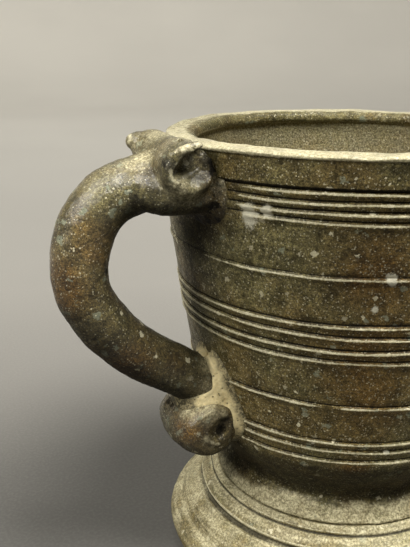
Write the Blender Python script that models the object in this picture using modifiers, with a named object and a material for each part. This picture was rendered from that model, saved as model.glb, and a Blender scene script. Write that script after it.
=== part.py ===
"""Cast bronze mortar with one round side handle, at real size.

Units are metres, +Z is up. The origin is the centre of the foot's flat
underside, on the bowl's axis. The handle stands out towards -X.
Run it from the text editor, or with blender --background --python part.py
"""
import math

import bmesh
import bpy
from mathutils import Matrix, Vector

# Bowl
TOTAL_HEIGHT = 0.1340
MOUTH_RADIUS = 0.0587
LIP_OVERHANG = 0.0013
LIP_RADIUS = MOUTH_RADIUS + LIP_OVERHANG
LIP_DEPTH = 0.0022
RIM_THICKNESS = 0.0090
RIM_CROWN = 0.0012
INNER_LIP_DEPTH = 0.0032
BAND_HEIGHT = 0.0078
BAND_PROUD = 0.0005
WALL_BASE_RADIUS = 0.0452
WALL_BASE_HEIGHT = 0.0468
WALL_BULGE = 0.0009
BOWL_FLOOR_HEIGHT = 0.0400
BOWL_ROUND_HEIGHT = 0.0220
LOW_WALL_THICKNESS = 0.0098
HIGH_WALL_THICKNESS = 0.0054
THICK_WALL_RISE = 0.0160
THIN_WALL_RISE = 0.0360

# The old knock that pushed the rim in beside the handle; its bearing is in degrees from +X
KNOCK_DEPTH = 0.0034
KNOCK_SINK = 0.0014
KNOCK_BEARING = 155.0
KNOCK_SPREAD = 0.0370
KNOCK_TALL = 0.0240

# Raised lines on the wall, measured down from the rim or up from the wall's base
RIDGE_RISE = 0.0005
RIDGE_HALF_WIDTH = 0.0008
TOP_RIDGES = 4
TOP_RIDGE_DROP = 0.0090
TOP_RIDGE_PITCH = 0.00245
UPPER_RIDGE_DROP = 0.0304
MIDDLE_PAIRS = 2
MIDDLE_PAIR_DROP = 0.0438
MIDDLE_PAIR_PITCH = 0.0071
MIDDLE_PAIR_SPACING = 0.0031
LOWER_RIDGE_RISE = 0.0191
BASE_RIDGES_ABOVE = (0.0008, 0.0044, 0.0072)

# Neck and the joint with the foot
NECK_RADIUS = 0.0360
NECK_HEIGHT = 0.0305
SEAM_RADIUS = 0.0398
SEAM_HEIGHT = 0.0235
SPIGOT_RADIUS = 0.0290
SPIGOT_LENGTH = 0.0110
BRAZE_FILM = 0.0012

# Foot
FOOT_RADIUS = 0.0558
FOOT_EDGE_HEIGHT = 0.0040
FOOT_LEDGE_INSET = 0.0024
FOOT_LEDGE_HEIGHT = 0.0078
FOOT_BASE_INSET = 0.0014
FOOT_GROOVE_WIDTH = 0.0024
FOOT_GROOVE_DEPTH = 0.0008
FOOT_BEAD_WIDTH = 0.0026
FOOT_BEAD_RISE = 0.0005

# Handle
BAR_RADIUS = 0.0078
BAR_LOW_RADIUS = 0.0073
HANDLE_REACH = 0.0333
UPPER_ROOT_DROP = 0.0092
LOWER_ROOT_HEIGHT = 0.0600
TENON_RADIUS = 0.0045
TENON_LENGTH = 0.0030
HANDLE_BEND_SHARES = (
    (0.35, 0.020),
    (0.74, 0.095),
    (0.95, 0.260),
    (1.00, 0.400),
    (0.965, 0.500),
    (0.75, 0.690),
    (0.255, 0.904),
)

# Scroll across the top of the handle
SCROLL_RADIUS = 0.0066
SCROLL_FAR_RADIUS = 0.0059
SCROLL_WAIST_RADIUS = 0.0060
SCROLL_NEAR_LENGTH = 0.0160
SCROLL_FAR_LENGTH = 0.0122
SCROLL_DROP = 0.0046
SCROLL_STANDOFF = 0.0045
SCROLL_CUP_RADIUS = 0.0046
SCROLL_CUP_DEPTH = 0.0050

# Roll under the foot of the handle
ROLL_RADIUS = 0.0090
ROLL_END_RADIUS = 0.0062
ROLL_NEAR_LENGTH = 0.0105
ROLL_FAR_LENGTH = 0.0120
ROLL_DROP = 0.0095
ROLL_STANDOFF = 0.0078
ROLL_DIMPLE_RADIUS = 0.0026
ROLL_DIMPLE_DEPTH = 0.0010

# Filler round the two roots, and the wedge in the lower one
UPPER_FILLER_REACH = 0.0060
UPPER_FILLER_SIDE = 0.0100
UPPER_FILLER_BELOW = 0.0028
LOWER_FILLER_SIZE = (0.0082, 0.0136, 0.0165)
LOWER_FILLER_DROP = 0.0045
WEDGE_WIDTH = 0.0024
WEDGE_THICKNESS = 0.0012
WEDGE_TIP_THICKNESS = 0.0007
WEDGE_LENGTH = 0.0070
WEDGE_SHOWING = 0.0034
WEDGE_SET_IN = 0.0005

# Fits and smoothness
CLEARANCE = 0.0003
TURNING_STEPS = 48
SCROLL_STEPS = 28
BAR_STEPS = 5
BAR_SIDES_LEVEL = 6
BOWL_ROUND_POINTS = 8
HIGH_WALL_POINTS = 6
KNOCK_POINTS = 8
NECK_POINTS = 6
MERGE_DISTANCE = 0.00001

BRONZE_DARK = (0.085, 0.070, 0.035, 1.0)
BRONZE_HANDLE = (0.115, 0.090, 0.050, 1.0)
BRONZE_DUSTY = (0.330, 0.290, 0.190, 1.0)
FILLER_TAN = (0.380, 0.310, 0.170, 1.0)
WEDGE_TAN = (0.420, 0.330, 0.180, 1.0)


def clear_scene():
    for item in list(bpy.data.objects):
        bpy.data.objects.remove(item, do_unlink=True)


def new_collection(name):
    collection = bpy.data.collections.new(name)
    bpy.context.scene.collection.children.link(collection)
    return collection


def metal(name, colour, roughness, metallic):
    material = bpy.data.materials.new(name)
    material.use_nodes = True
    shader = material.node_tree.nodes["Principled BSDF"]
    shader.inputs["Base Color"].default_value = colour
    shader.inputs["Roughness"].default_value = roughness
    shader.inputs["Metallic"].default_value = metallic
    return material


def place(mesh, name, collection):
    item = bpy.data.objects.new(name, mesh)
    collection.objects.link(item)
    return item


def make_cutter(item):
    item.hide_render = True
    item.display_type = "WIRE"
    return item


def turned(name, profile, collection, steps):
    """A solid turned about Z from (radius, height) points that run down its outside."""
    mesh = bpy.data.meshes.new(name)
    points = [(radius, 0.0, height) for radius, height in profile]
    edges = [(index, index + 1) for index in range(len(points) - 1)]
    mesh.from_pydata(points, edges, [])
    item = place(mesh, name, collection)
    screw = item.modifiers.new("turning", "SCREW")
    screw.axis = "Z"
    screw.angle = math.tau
    screw.steps = steps
    screw.render_steps = steps
    screw.use_merge_vertices = True
    screw.merge_threshold = MERGE_DISTANCE
    screw.use_smooth_shade = True
    return item


def boolean(item, other, operation):
    modifier = item.modifiers.new(operation.lower() + "_" + other.name, "BOOLEAN")
    modifier.operation = operation
    modifier.solver = "EXACT"
    modifier.object = other


def cut(item, *cutters):
    for cutter in cutters:
        boolean(item, cutter, "DIFFERENCE")


def join(item, *others):
    for other in others:
        boolean(item, other, "UNION")


def wall_radius(height):
    """Plain outer radius of the tapering wall, without its raised lines."""
    share = (height - WALL_BASE_HEIGHT) / (TOTAL_HEIGHT - WALL_BASE_HEIGHT)
    straight = WALL_BASE_RADIUS + (MOUTH_RADIUS - WALL_BASE_RADIUS) * share
    return straight + 4.0 * WALL_BULGE * share * (1.0 - share)


def ridge_heights():
    top = [TOTAL_HEIGHT - TOP_RIDGE_DROP - TOP_RIDGE_PITCH * index for index in range(TOP_RIDGES)]
    middle = []
    for pair in range(MIDDLE_PAIRS):
        first = TOTAL_HEIGHT - MIDDLE_PAIR_DROP - MIDDLE_PAIR_PITCH * pair
        middle += [first, first - MIDDLE_PAIR_SPACING]
    base = [WALL_BASE_HEIGHT + above for above in BASE_RIDGES_ABOVE]
    single = [TOTAL_HEIGHT - UPPER_RIDGE_DROP, WALL_BASE_HEIGHT + LOWER_RIDGE_RISE]
    return top + middle + base + single


def ridged_wall():
    """Points down the wall, from under the rim band to its base, over every raised line."""
    heights = ridge_heights()
    top = TOTAL_HEIGHT - BAND_HEIGHT
    breaks = {top, WALL_BASE_HEIGHT}
    breaks.update(TOTAL_HEIGHT - KNOCK_TALL * index / KNOCK_POINTS for index in range(KNOCK_POINTS + 1))
    for height in heights:
        breaks.update((height - RIDGE_HALF_WIDTH, height, height + RIDGE_HALF_WIDTH))
    inside = sorted((value for value in breaks if WALL_BASE_HEIGHT <= value <= top), reverse=True)
    kept = [inside[0]]
    for value in inside[1:]:
        if kept[-1] - value > CLEARANCE / 2.0:
            kept.append(value)
    points = []
    for value in kept:
        rises = [1.0 - abs(value - height) / RIDGE_HALF_WIDTH for height in heights]
        points.append((wall_radius(value) + RIDGE_RISE * max(0.0, max(rises)), value))
    return points


def bowl_inside():
    """Points from the middle of the floor up the inside, where the wall thins, to under the inner lip."""
    spring = BOWL_FLOOR_HEIGHT + BOWL_ROUND_HEIGHT
    spring_radius = wall_radius(spring) - LOW_WALL_THICKNESS
    points = []
    for index in range(BOWL_ROUND_POINTS + 1):
        angle = math.pi / 2.0 * index / BOWL_ROUND_POINTS
        points.append((spring_radius * math.sin(angle), spring - BOWL_ROUND_HEIGHT * math.cos(angle)))
    thick_top = spring + THICK_WALL_RISE
    points.append((wall_radius(thick_top) - LOW_WALL_THICKNESS, thick_top))
    thin_start = spring + THIN_WALL_RISE
    lip_under = TOTAL_HEIGHT - INNER_LIP_DEPTH
    for index in range(HIGH_WALL_POINTS + 1):
        height = thin_start + (lip_under - thin_start) * index / HIGH_WALL_POINTS
        points.append((wall_radius(height) - HIGH_WALL_THICKNESS, height))
    return points


def rim_top():
    """Points round the inner lip, over the rim and down its outer lip to the foot of the plain band."""
    inner_rim = LIP_RADIUS - RIM_THICKNESS
    band_bottom = TOTAL_HEIGHT - BAND_HEIGHT
    return [
        (inner_rim + RIM_CROWN * 0.3, TOTAL_HEIGHT - INNER_LIP_DEPTH * 0.90),
        (inner_rim, TOTAL_HEIGHT - INNER_LIP_DEPTH * 0.55),
        (inner_rim + RIM_CROWN * 0.5, TOTAL_HEIGHT - INNER_LIP_DEPTH * 0.10),
        (inner_rim + RIM_THICKNESS * 0.35, TOTAL_HEIGHT),
        (LIP_RADIUS - RIM_CROWN * 1.5, TOTAL_HEIGHT),
        (LIP_RADIUS - RIM_CROWN * 0.3, TOTAL_HEIGHT - RIM_CROWN * 0.3),
        (LIP_RADIUS, TOTAL_HEIGHT - RIM_CROWN),
        (wall_radius(TOTAL_HEIGHT - LIP_DEPTH) + BAND_PROUD, TOTAL_HEIGHT - LIP_DEPTH),
        (wall_radius(band_bottom) + BAND_PROUD, band_bottom + BAND_PROUD),
    ]


def neck_curve():
    """Points from the wall's base in to the waist of the neck and out to the seam."""
    points = []
    for index in range(1, NECK_POINTS + 1):
        share = index / NECK_POINTS
        swing = 0.5 + 0.5 * math.cos(math.pi * share)
        radius = NECK_RADIUS + (WALL_BASE_RADIUS - NECK_RADIUS) * swing
        points.append((radius, WALL_BASE_HEIGHT + (NECK_HEIGHT - WALL_BASE_HEIGHT) * share))
    for index in range(1, NECK_POINTS):
        share = index / (NECK_POINTS - 1)
        radius = NECK_RADIUS + (SEAM_RADIUS - NECK_RADIUS) * (1.0 - math.cos(math.pi / 2.0 * share))
        points.append((radius, NECK_HEIGHT + (SEAM_HEIGHT - NECK_HEIGHT) * share))
    return points


def knock_at(bearing, height):
    """How far the old knock has pushed the wall inwards, at a bearing in radians and a height."""
    share = (height - TOTAL_HEIGHT + KNOCK_TALL) / (KNOCK_TALL - INNER_LIP_DEPTH)
    share = min(1.0, max(0.0, share))
    away = LIP_RADIUS * math.remainder(bearing - math.radians(KNOCK_BEARING), math.tau)
    return KNOCK_DEPTH * math.exp(-((away / KNOCK_SPREAD) ** 2)) * share * share * (3.0 - 2.0 * share)


def knock_rim(item):
    """Pushes the rim of a turned piece in and down where the old knock is."""
    bpy.context.view_layer.update()
    mesh = bpy.data.meshes.new_from_object(item.evaluated_get(bpy.context.evaluated_depsgraph_get()))
    for vert in mesh.vertices:
        radius = math.hypot(vert.co.x, vert.co.y)
        if radius > MERGE_DISTANCE:
            push = knock_at(math.atan2(vert.co.y, vert.co.x), vert.co.z)
            kept = (radius - push) / radius
            sink = KNOCK_SINK * push / KNOCK_DEPTH
            vert.co = Vector((vert.co.x * kept, vert.co.y * kept, vert.co.z - sink))
    item.modifiers.clear()
    item.data = mesh
    return item


def build_vessel(collection, sockets):
    spigot_end = SEAM_HEIGHT - SPIGOT_LENGTH
    profile = bowl_inside() + rim_top() + ridged_wall() + neck_curve()
    profile += [(SPIGOT_RADIUS, SEAM_HEIGHT), (SPIGOT_RADIUS, spigot_end), (0.0, spigot_end)]
    vessel = knock_rim(turned("vessel", profile, collection, TURNING_STEPS))
    cut(vessel, *sockets)
    return vessel


def foot_slope():
    """Points down the foot's stepped top, from the seam to the sharp edge of its flange."""
    top = SEAM_HEIGHT - CLEARANCE
    ledge_radius = FOOT_RADIUS - FOOT_LEDGE_INSET
    run = Vector((ledge_radius - SEAM_RADIUS, FOOT_LEDGE_HEIGHT - top))
    along = run.normalized()
    outward = Vector((-along.y, along.x))

    def on_slope(distance, rise):
        spot = Vector((SEAM_RADIUS, top)) + along * distance + outward * rise
        return (spot.x, spot.y)

    groove = run.length * 0.42
    return [
        (SEAM_RADIUS, top),
        on_slope(FOOT_BEAD_WIDTH * 0.5, FOOT_BEAD_RISE),
        on_slope(FOOT_BEAD_WIDTH, -FOOT_BEAD_RISE),
        on_slope((FOOT_BEAD_WIDTH + groove) * 0.5, FOOT_BEAD_RISE),
        on_slope(groove - FOOT_GROOVE_WIDTH * 0.5, FOOT_BEAD_RISE),
        on_slope(groove - FOOT_GROOVE_WIDTH * 0.3, -FOOT_GROOVE_DEPTH),
        on_slope(groove + FOOT_GROOVE_WIDTH * 0.5, -FOOT_GROOVE_DEPTH * 0.5),
        on_slope(run.length * 0.72, FOOT_BEAD_RISE),
        (ledge_radius, FOOT_LEDGE_HEIGHT),
    ]


def build_foot(collection):
    socket_radius = SPIGOT_RADIUS + BRAZE_FILM + 2.0 * CLEARANCE
    socket_floor = SEAM_HEIGHT - SPIGOT_LENGTH - CLEARANCE
    edge_step = FOOT_RADIUS - FOOT_LEDGE_INSET * 0.35
    edge_height = FOOT_EDGE_HEIGHT + (FOOT_LEDGE_HEIGHT - FOOT_EDGE_HEIGHT) * 0.75
    profile = [(0.0, socket_floor), (socket_radius, socket_floor)]
    profile += [(socket_radius, SEAM_HEIGHT - CLEARANCE)]
    profile += foot_slope()
    profile += [
        (edge_step, edge_height),
        (FOOT_RADIUS, FOOT_EDGE_HEIGHT),
        (FOOT_RADIUS - FOOT_BASE_INSET * 0.4, FOOT_EDGE_HEIGHT * 0.35),
        (FOOT_RADIUS - FOOT_BASE_INSET, 0.0),
        (0.0, 0.0),
    ]
    return turned("foot", profile, collection, TURNING_STEPS)


def build_foot_braze(collection):
    """The film of braze that fills the ring between the bowl's spigot and the foot's socket."""
    inner = SPIGOT_RADIUS + CLEARANCE
    outer = inner + BRAZE_FILM
    top = SEAM_HEIGHT - 2.0 * CLEARANCE
    bottom = SEAM_HEIGHT - SPIGOT_LENGTH
    profile = [(inner, bottom), (inner, top), (outer, top), (outer, bottom), (inner, bottom)]
    return turned("foot_braze", profile, collection, TURNING_STEPS)


def wall_envelope(name, collection):
    """A plain solid just outside the wall and rim, which trims what is fixed to them."""
    top = TOTAL_HEIGHT + CLEARANCE
    reach = RIDGE_RISE + CLEARANCE
    band_bottom = TOTAL_HEIGHT - BAND_HEIGHT
    lip = LIP_RADIUS + CLEARANCE
    profile = [
        (0.0, top),
        (lip - RIM_CROWN, top),
        (lip, TOTAL_HEIGHT - RIM_CROWN),
        (wall_radius(TOTAL_HEIGHT - LIP_DEPTH) + reach, TOTAL_HEIGHT - LIP_DEPTH),
    ]
    steps = 4 * NECK_POINTS
    for index in range(steps + 1):
        height = band_bottom + (WALL_BASE_HEIGHT - band_bottom) * index / steps
        profile.append((wall_radius(height) + reach, height))
    profile += [(radius + CLEARANCE, height) for radius, height in neck_curve()]
    profile += [(0.0, SEAM_HEIGHT)]
    return make_cutter(knock_rim(turned(name, profile, collection, TURNING_STEPS)))


def upper_root():
    height = TOTAL_HEIGHT - UPPER_ROOT_DROP
    return Vector((knock_at(math.pi, height) - wall_radius(height), 0.0, height))


def lower_root():
    return Vector((-wall_radius(LOWER_ROOT_HEIGHT), 0.0, LOWER_ROOT_HEIGHT))


def bend_point(out_share, drop_share):
    top = TOTAL_HEIGHT - UPPER_ROOT_DROP
    height = top + (LOWER_ROOT_HEIGHT - top) * drop_share
    return Vector((-wall_radius(height) - HANDLE_REACH * out_share, 0.0, height))


def handle_route():
    """Centre line of the bar, from inside the wall at the rim to inside the wall low down."""
    bends = [bend_point(out_share, drop_share) for out_share, drop_share in HANDLE_BEND_SHARES]
    first = upper_root() + (upper_root() - bends[0]).normalized() * BAR_RADIUS
    last = lower_root() + (lower_root() - bends[-1]).normalized() * BAR_RADIUS
    return [first, upper_root()] + bends + [lower_root(), last]


def round_bar(name, route, start_radius, end_radius, collection):
    """A round bar on a smooth line through the route, as a closed mesh."""
    curve = bpy.data.curves.new(name, "CURVE")
    curve.dimensions = "3D"
    curve.resolution_u = BAR_STEPS
    curve.bevel_resolution = BAR_SIDES_LEVEL
    curve.bevel_depth = start_radius
    curve.use_fill_caps = True
    spline = curve.splines.new("BEZIER")
    spline.bezier_points.add(len(route) - 1)
    for index, (point, spot) in enumerate(zip(spline.bezier_points, route)):
        point.co = spot
        point.handle_left_type = "AUTO"
        point.handle_right_type = "AUTO"
        share = index / (len(route) - 1)
        point.radius = 1.0 + (end_radius / start_radius - 1.0) * share
    item = place(curve, name + "_line", collection)
    bpy.context.view_layer.update()
    mesh = bpy.data.meshes.new_from_object(item.evaluated_get(bpy.context.evaluated_depsgraph_get()))
    mesh.name = name
    welded = bmesh.new()
    welded.from_mesh(mesh)
    bmesh.ops.remove_doubles(welded, verts=welded.verts, dist=MERGE_DISTANCE)
    bmesh.ops.recalc_face_normals(welded, faces=welded.faces)
    welded.to_mesh(mesh)
    welded.free()
    mesh.shade_smooth()
    mesh.set_sharp_from_angle(angle=math.radians(50.0))
    bar = place(mesh, name, collection)
    bar.matrix_world = item.matrix_world
    bpy.data.objects.remove(item, do_unlink=True)
    return bar


def handle_bar(name, collection, grow):
    return round_bar(name, handle_route(), BAR_RADIUS + grow, BAR_LOW_RADIUS + grow, collection)


def across(item, centre):
    """Lays a piece turned about Z across the handle, along Y, with its middle at centre."""
    item.matrix_world = Matrix.Translation(centre) @ Matrix.Rotation(math.pi / 2.0, 4, "X")
    return item


def scroll_centre():
    height = TOTAL_HEIGHT - SCROLL_DROP
    return Vector((-wall_radius(height) - SCROLL_STANDOFF, 0.0, height))


def scroll_end(length, lip, cup_depth):
    """Points from the bottom of a scroll's hollow cup, over its lip and down to its waist."""
    cup = lip - (SCROLL_RADIUS - SCROLL_CUP_RADIUS)
    waist = lip - (SCROLL_RADIUS - SCROLL_WAIST_RADIUS)
    return [
        (0.0, length - cup_depth),
        (cup * 0.6, length - cup_depth * 0.75),
        (cup, length - cup_depth * 0.1),
        ((cup + lip) / 2.0, length),
        (lip, length * 0.94),
        (waist, length * 0.62),
    ]


def upper_scroll(name, collection, grow, cup_depth):
    """The roll across the handle's head, flared to a hollow cup at each end."""
    near = scroll_end(SCROLL_NEAR_LENGTH + grow, SCROLL_RADIUS + grow, cup_depth)
    far = scroll_end(SCROLL_FAR_LENGTH + grow, SCROLL_FAR_RADIUS + grow, cup_depth)
    profile = near + [(radius, -height) for radius, height in reversed(far)]
    return across(turned(name, profile, collection, SCROLL_STEPS), scroll_centre())


def roll_centre():
    height = LOWER_ROOT_HEIGHT - ROLL_DROP
    return Vector((-wall_radius(height) - ROLL_STANDOFF, 0.0, height))


def roll_end(length, grow):
    """Points from the middle of the roll's dimpled end out to its full girth."""
    body = ROLL_RADIUS + grow
    end = ROLL_END_RADIUS + grow
    return [
        (0.0, length - ROLL_DIMPLE_DEPTH),
        (ROLL_DIMPLE_RADIUS * 0.6, length - ROLL_DIMPLE_DEPTH * 0.8),
        (ROLL_DIMPLE_RADIUS, length),
        (end * 0.8, length),
        (end, length * 0.95),
        ((end + body) / 2.0, length * 0.80),
        (body * 0.97, length * 0.48),
        (body, length * 0.15),
    ]


def lower_roll(name, collection, grow):
    """The plump roll under the bar's lower end, with a small dimple in each end."""
    near = roll_end(ROLL_NEAR_LENGTH + grow, grow)
    far = [(radius, -height) for radius, height in reversed(roll_end(ROLL_FAR_LENGTH + grow, grow))]
    return across(turned(name, near + far, collection, SCROLL_STEPS), roll_centre())


def tenon(name, root, towards, collection, grow):
    """A peg on the bar's end that sits in a blind hole in the wall."""
    direction = (root - towards).normalized()
    start = -BAR_RADIUS
    end = TENON_LENGTH + grow
    radius = TENON_RADIUS + grow
    profile = [(0.0, end), (radius, end), (radius, start), (0.0, start)]
    peg = turned(name, profile, collection, SCROLL_STEPS)
    turn = direction.to_track_quat("Z", "Y").to_matrix().to_4x4()
    peg.matrix_world = Matrix.Translation(root) @ turn
    return make_cutter(peg)


def both_tenons(label, collection, grow):
    route = handle_route()
    upper = tenon("upper_" + label, upper_root(), route[2], collection, grow)
    lower = tenon("lower_" + label, lower_root(), route[-3], collection, grow)
    return [upper, lower]


def build_handle(collection, cutters, envelope, wedge_space):
    handle = handle_bar("handle", collection, 0.0)
    join(handle, make_cutter(upper_scroll("scroll_shape", cutters, 0.0, SCROLL_CUP_DEPTH)))
    cut(handle, envelope)
    join(handle, *both_tenons("tenon_shape", cutters, 0.0))
    cut(handle, wedge_space)
    return handle


def build_lower_roll(collection, envelope, bar_space):
    roll = lower_roll("lower_scroll", collection, 0.0)
    cut(roll, envelope, bar_space)
    return roll


def filler_lump(name, centre, size, collection):
    """A smooth lump of filler, trimmed later by the wall and by what it holds."""
    mesh = bpy.data.meshes.new(name)
    lump = bmesh.new()
    bmesh.ops.create_uvsphere(lump, u_segments=TURNING_STEPS // 2, v_segments=SCROLL_STEPS // 2, radius=1.0)
    bmesh.ops.scale(lump, vec=Vector(size), verts=lump.verts)
    lump.to_mesh(mesh)
    lump.free()
    mesh.shade_smooth()
    item = place(mesh, name, collection)
    item.location = centre
    return item


def build_upper_filler(collection, envelope, spaces):
    size = (UPPER_FILLER_REACH, BAR_RADIUS + UPPER_FILLER_SIDE, BAR_RADIUS + UPPER_FILLER_BELOW)
    filler = filler_lump("upper_filler", upper_root(), size, collection)
    cut(filler, envelope, *spaces)
    return filler


def build_lower_filler(collection, envelope, spaces):
    height = LOWER_ROOT_HEIGHT - LOWER_FILLER_DROP
    centre = Vector((-wall_radius(height), 0.0, height))
    filler = filler_lump("lower_filler", centre, LOWER_FILLER_SIZE, collection)
    cut(filler, envelope, *spaces)
    return filler


def wedge_shape(name, collection, grow):
    """A flat tapered wedge standing in the angle between the bar's end and the wall."""
    direction = (lower_root() - bend_point(*HANDLE_BEND_SHARES[-1])).normalized()
    crotch = LOWER_ROOT_HEIGHT + BAR_LOW_RADIUS / direction.x
    lower = crotch + WEDGE_SHOWING - WEDGE_LENGTH
    gap = RIDGE_RISE + CLEARANCE + WEDGE_SET_IN
    thick = WEDGE_THICKNESS + 2.0 * grow
    thin = WEDGE_TIP_THICKNESS + 2.0 * grow
    wide = WEDGE_WIDTH / 2.0 + grow
    long = WEDGE_LENGTH / 2.0 + grow
    mesh = bpy.data.meshes.new(name)
    block = bmesh.new()
    bmesh.ops.create_cube(block, size=1.0)
    for vert in block.verts:
        depth = thick if vert.co.z > 0.0 else thin
        vert.co = Vector((vert.co.x * depth, vert.co.y * 2.0 * wide, vert.co.z * 2.0 * long))
    block.to_mesh(mesh)
    block.free()
    item = place(mesh, name, collection)
    middle = lower + WEDGE_LENGTH / 2.0
    stand = -wall_radius(middle) - gap - WEDGE_THICKNESS / 2.0
    slope = (wall_radius(middle + WEDGE_LENGTH) - wall_radius(middle)) / WEDGE_LENGTH
    item.matrix_world = (
        Matrix.Translation((stand, 0.0, middle)) @ Matrix.Rotation(-math.atan(slope), 4, "Y")
    )
    return item


def build_part():
    clear_scene()
    parts = new_collection("bronze_mortar")
    cutters = new_collection("cutting_shapes")

    bronze = metal("dark_bronze", BRONZE_DARK, 0.42, 0.85)
    handle_bronze = metal("worn_bronze", BRONZE_HANDLE, 0.40, 0.85)
    dusty_bronze = metal("dusty_bronze", BRONZE_DUSTY, 0.75, 0.30)
    tan_filler = metal("tan_filler", FILLER_TAN, 0.85, 0.10)
    wedge_metal = metal("wedge_metal", WEDGE_TAN, 0.70, 0.30)

    envelope = wall_envelope("wall_space", cutters)
    bar_space = make_cutter(handle_bar("bar_space", cutters, CLEARANCE))
    scroll_space = make_cutter(upper_scroll("scroll_space", cutters, CLEARANCE, 0.0))
    roll_space = make_cutter(lower_roll("roll_space", cutters, CLEARANCE))
    wedge_space = make_cutter(wedge_shape("wedge_space", cutters, CLEARANCE))

    finishes = {
        build_vessel(parts, both_tenons("socket", cutters, CLEARANCE)): bronze,
        build_foot(parts): dusty_bronze,
        build_foot_braze(parts): tan_filler,
        build_handle(parts, cutters, envelope, wedge_space): handle_bronze,
        build_lower_roll(parts, envelope, bar_space): handle_bronze,
        build_upper_filler(parts, envelope, [bar_space, scroll_space]): tan_filler,
        build_lower_filler(parts, envelope, [bar_space, roll_space, wedge_space]): tan_filler,
        wedge_shape("wedge", parts, 0.0): wedge_metal,
    }
    for item, material in finishes.items():
        item.data.materials.append(material)


build_part()
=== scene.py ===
"""Dressed model of a cast bronze mortar with one round side handle.

The file is laid out as an add-on and run as a script. Each operator makes one
piece, or one group of like pieces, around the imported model. Units are metres,
+Z is up, and the handle stands out towards -X.
"""

import itertools
import math

import bmesh
import bpy
import numpy as np
from bpy.props import FloatProperty, FloatVectorProperty, PointerProperty
from mathutils import Matrix, Vector


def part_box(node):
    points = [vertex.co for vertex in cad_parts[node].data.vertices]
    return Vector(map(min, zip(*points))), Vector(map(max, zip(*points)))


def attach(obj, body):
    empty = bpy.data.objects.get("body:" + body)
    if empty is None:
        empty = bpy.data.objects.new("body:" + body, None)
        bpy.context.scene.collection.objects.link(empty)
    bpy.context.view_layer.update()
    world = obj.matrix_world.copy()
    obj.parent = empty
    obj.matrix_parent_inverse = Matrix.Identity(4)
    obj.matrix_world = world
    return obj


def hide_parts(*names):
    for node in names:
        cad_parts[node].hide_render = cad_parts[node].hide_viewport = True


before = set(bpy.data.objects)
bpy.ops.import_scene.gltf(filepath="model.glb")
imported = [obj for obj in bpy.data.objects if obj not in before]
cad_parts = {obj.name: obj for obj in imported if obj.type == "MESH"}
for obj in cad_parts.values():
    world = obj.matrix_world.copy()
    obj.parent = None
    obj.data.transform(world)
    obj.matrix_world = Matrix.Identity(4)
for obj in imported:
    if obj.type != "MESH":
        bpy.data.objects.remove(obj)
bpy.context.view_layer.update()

bl_info = {
    "name": "Bronze mortar",
    "version": (1, 0, 0),
    "blender": (4, 5, 0),
    "location": "3D View > Sidebar > Mortar",
    "description": "Turns, sculpts and finishes a cast bronze mortar with a side handle",
    "category": "Object",
}

BODY = "root"
MM = 0.001
PER_METRE = 1000.0
RIM_HEIGHT = 0.134


def length(label, text, value):
    return FloatProperty(name=label, description=text, default=value, min=0.0, unit="LENGTH", precision=5)


def share(label, text, value, top=1.0):
    return FloatProperty(name=label, description=text, default=value, min=0.0, max=top, subtype="FACTOR")


def tint(label, text, value):
    return FloatVectorProperty(
        name=label, description=text, default=value, size=3, min=0.0, max=1.0, subtype="COLOR"
    )


def power(label, text, value):
    return FloatProperty(name=label, description=text, default=value, unit="POWER")


def bearing(label, text, value):
    return FloatProperty(name=label, description=text + ", in degrees", default=value)


class MortarBowlSizes(bpy.types.PropertyGroup):
    """Sizes of the bowl with its raised lines, rim and neck"""

    lip_radius: length("Lip radius", "Outer radius of the rim's lip", 0.0600)
    mouth_radius: length("Mouth radius", "Plain outer radius of the wall at the rim", 0.0587)
    rim_thickness: length("Rim thickness", "Width of the rim's flat top", 0.0090)
    band_height: length("Band height", "Height of the plain band under the rim", 0.0078)
    base_radius: length("Wall base radius", "Outer radius at the foot of the wall", 0.0452)
    base_height: length("Wall base height", "Height at which the wall turns into the neck", 0.0468)
    wall_bulge: length("Wall bulge", "How far the wall swells past a straight taper", 0.0009)
    floor_height: length("Bowl floor height", "Height of the floor inside the bowl", 0.0400)
    neck_radius: length("Neck radius", "Radius of the waist above the foot", 0.0360)
    neck_height: length("Neck height", "Height of the waist above the table", 0.0298)
    seam_radius: length("Seam radius", "Radius where the neck meets the foot", 0.0398)
    seam_height: length("Seam height", "Height of the seam with the foot", 0.0235)
    line_rise: length("Line rise", "How far the raised lines stand out", 0.00062)
    line_wander: length("Line wander", "How far the hand-turned lines drift up and down", 0.00020)
    rim_knock: length("Rim knock", "How far the rim is pushed in beside the handle", 0.0034)
    lumps: length("Casting lumps", "Height of the broad unevenness of the casting", 0.00022)


class MortarFootSizes(bpy.types.PropertyGroup):
    """Sizes of the spreading foot"""

    radius: length("Foot radius", "Radius of the flange", 0.0558)
    ledge_radius: length("Ledge radius", "Radius of the step above the flange", 0.0534)
    ledge_height: length("Ledge height", "Height of the step above the table", 0.0078)
    edge_height: length("Edge height", "Height of the flange's sharp edge", 0.0040)
    groove_depth: length("Groove depth", "Depth of the turned groove half way down", 0.0009)
    lumps: length("Casting lumps", "Height of the broad unevenness of the casting", 0.00028)


class MortarHandleSizes(bpy.types.PropertyGroup):
    """Sizes of the handle, its scroll and the roll below it"""

    bar_radius: length("Bar radius", "Radius of the bar at its head", 0.0078)
    bar_low_radius: length("Bar low radius", "Radius of the bar at its foot", 0.0073)
    reach: length("Reach", "Distance from the wall to the bar's middle at its widest", 0.0333)
    upper_drop: length("Upper root drop", "Drop of the upper root below the rim", 0.0092)
    lower_height: length("Lower root height", "Height of the lower root above the table", 0.0600)
    grain: length("Surface grain", "Voxel size of the sculpted surfaces", 0.00042)


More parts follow.
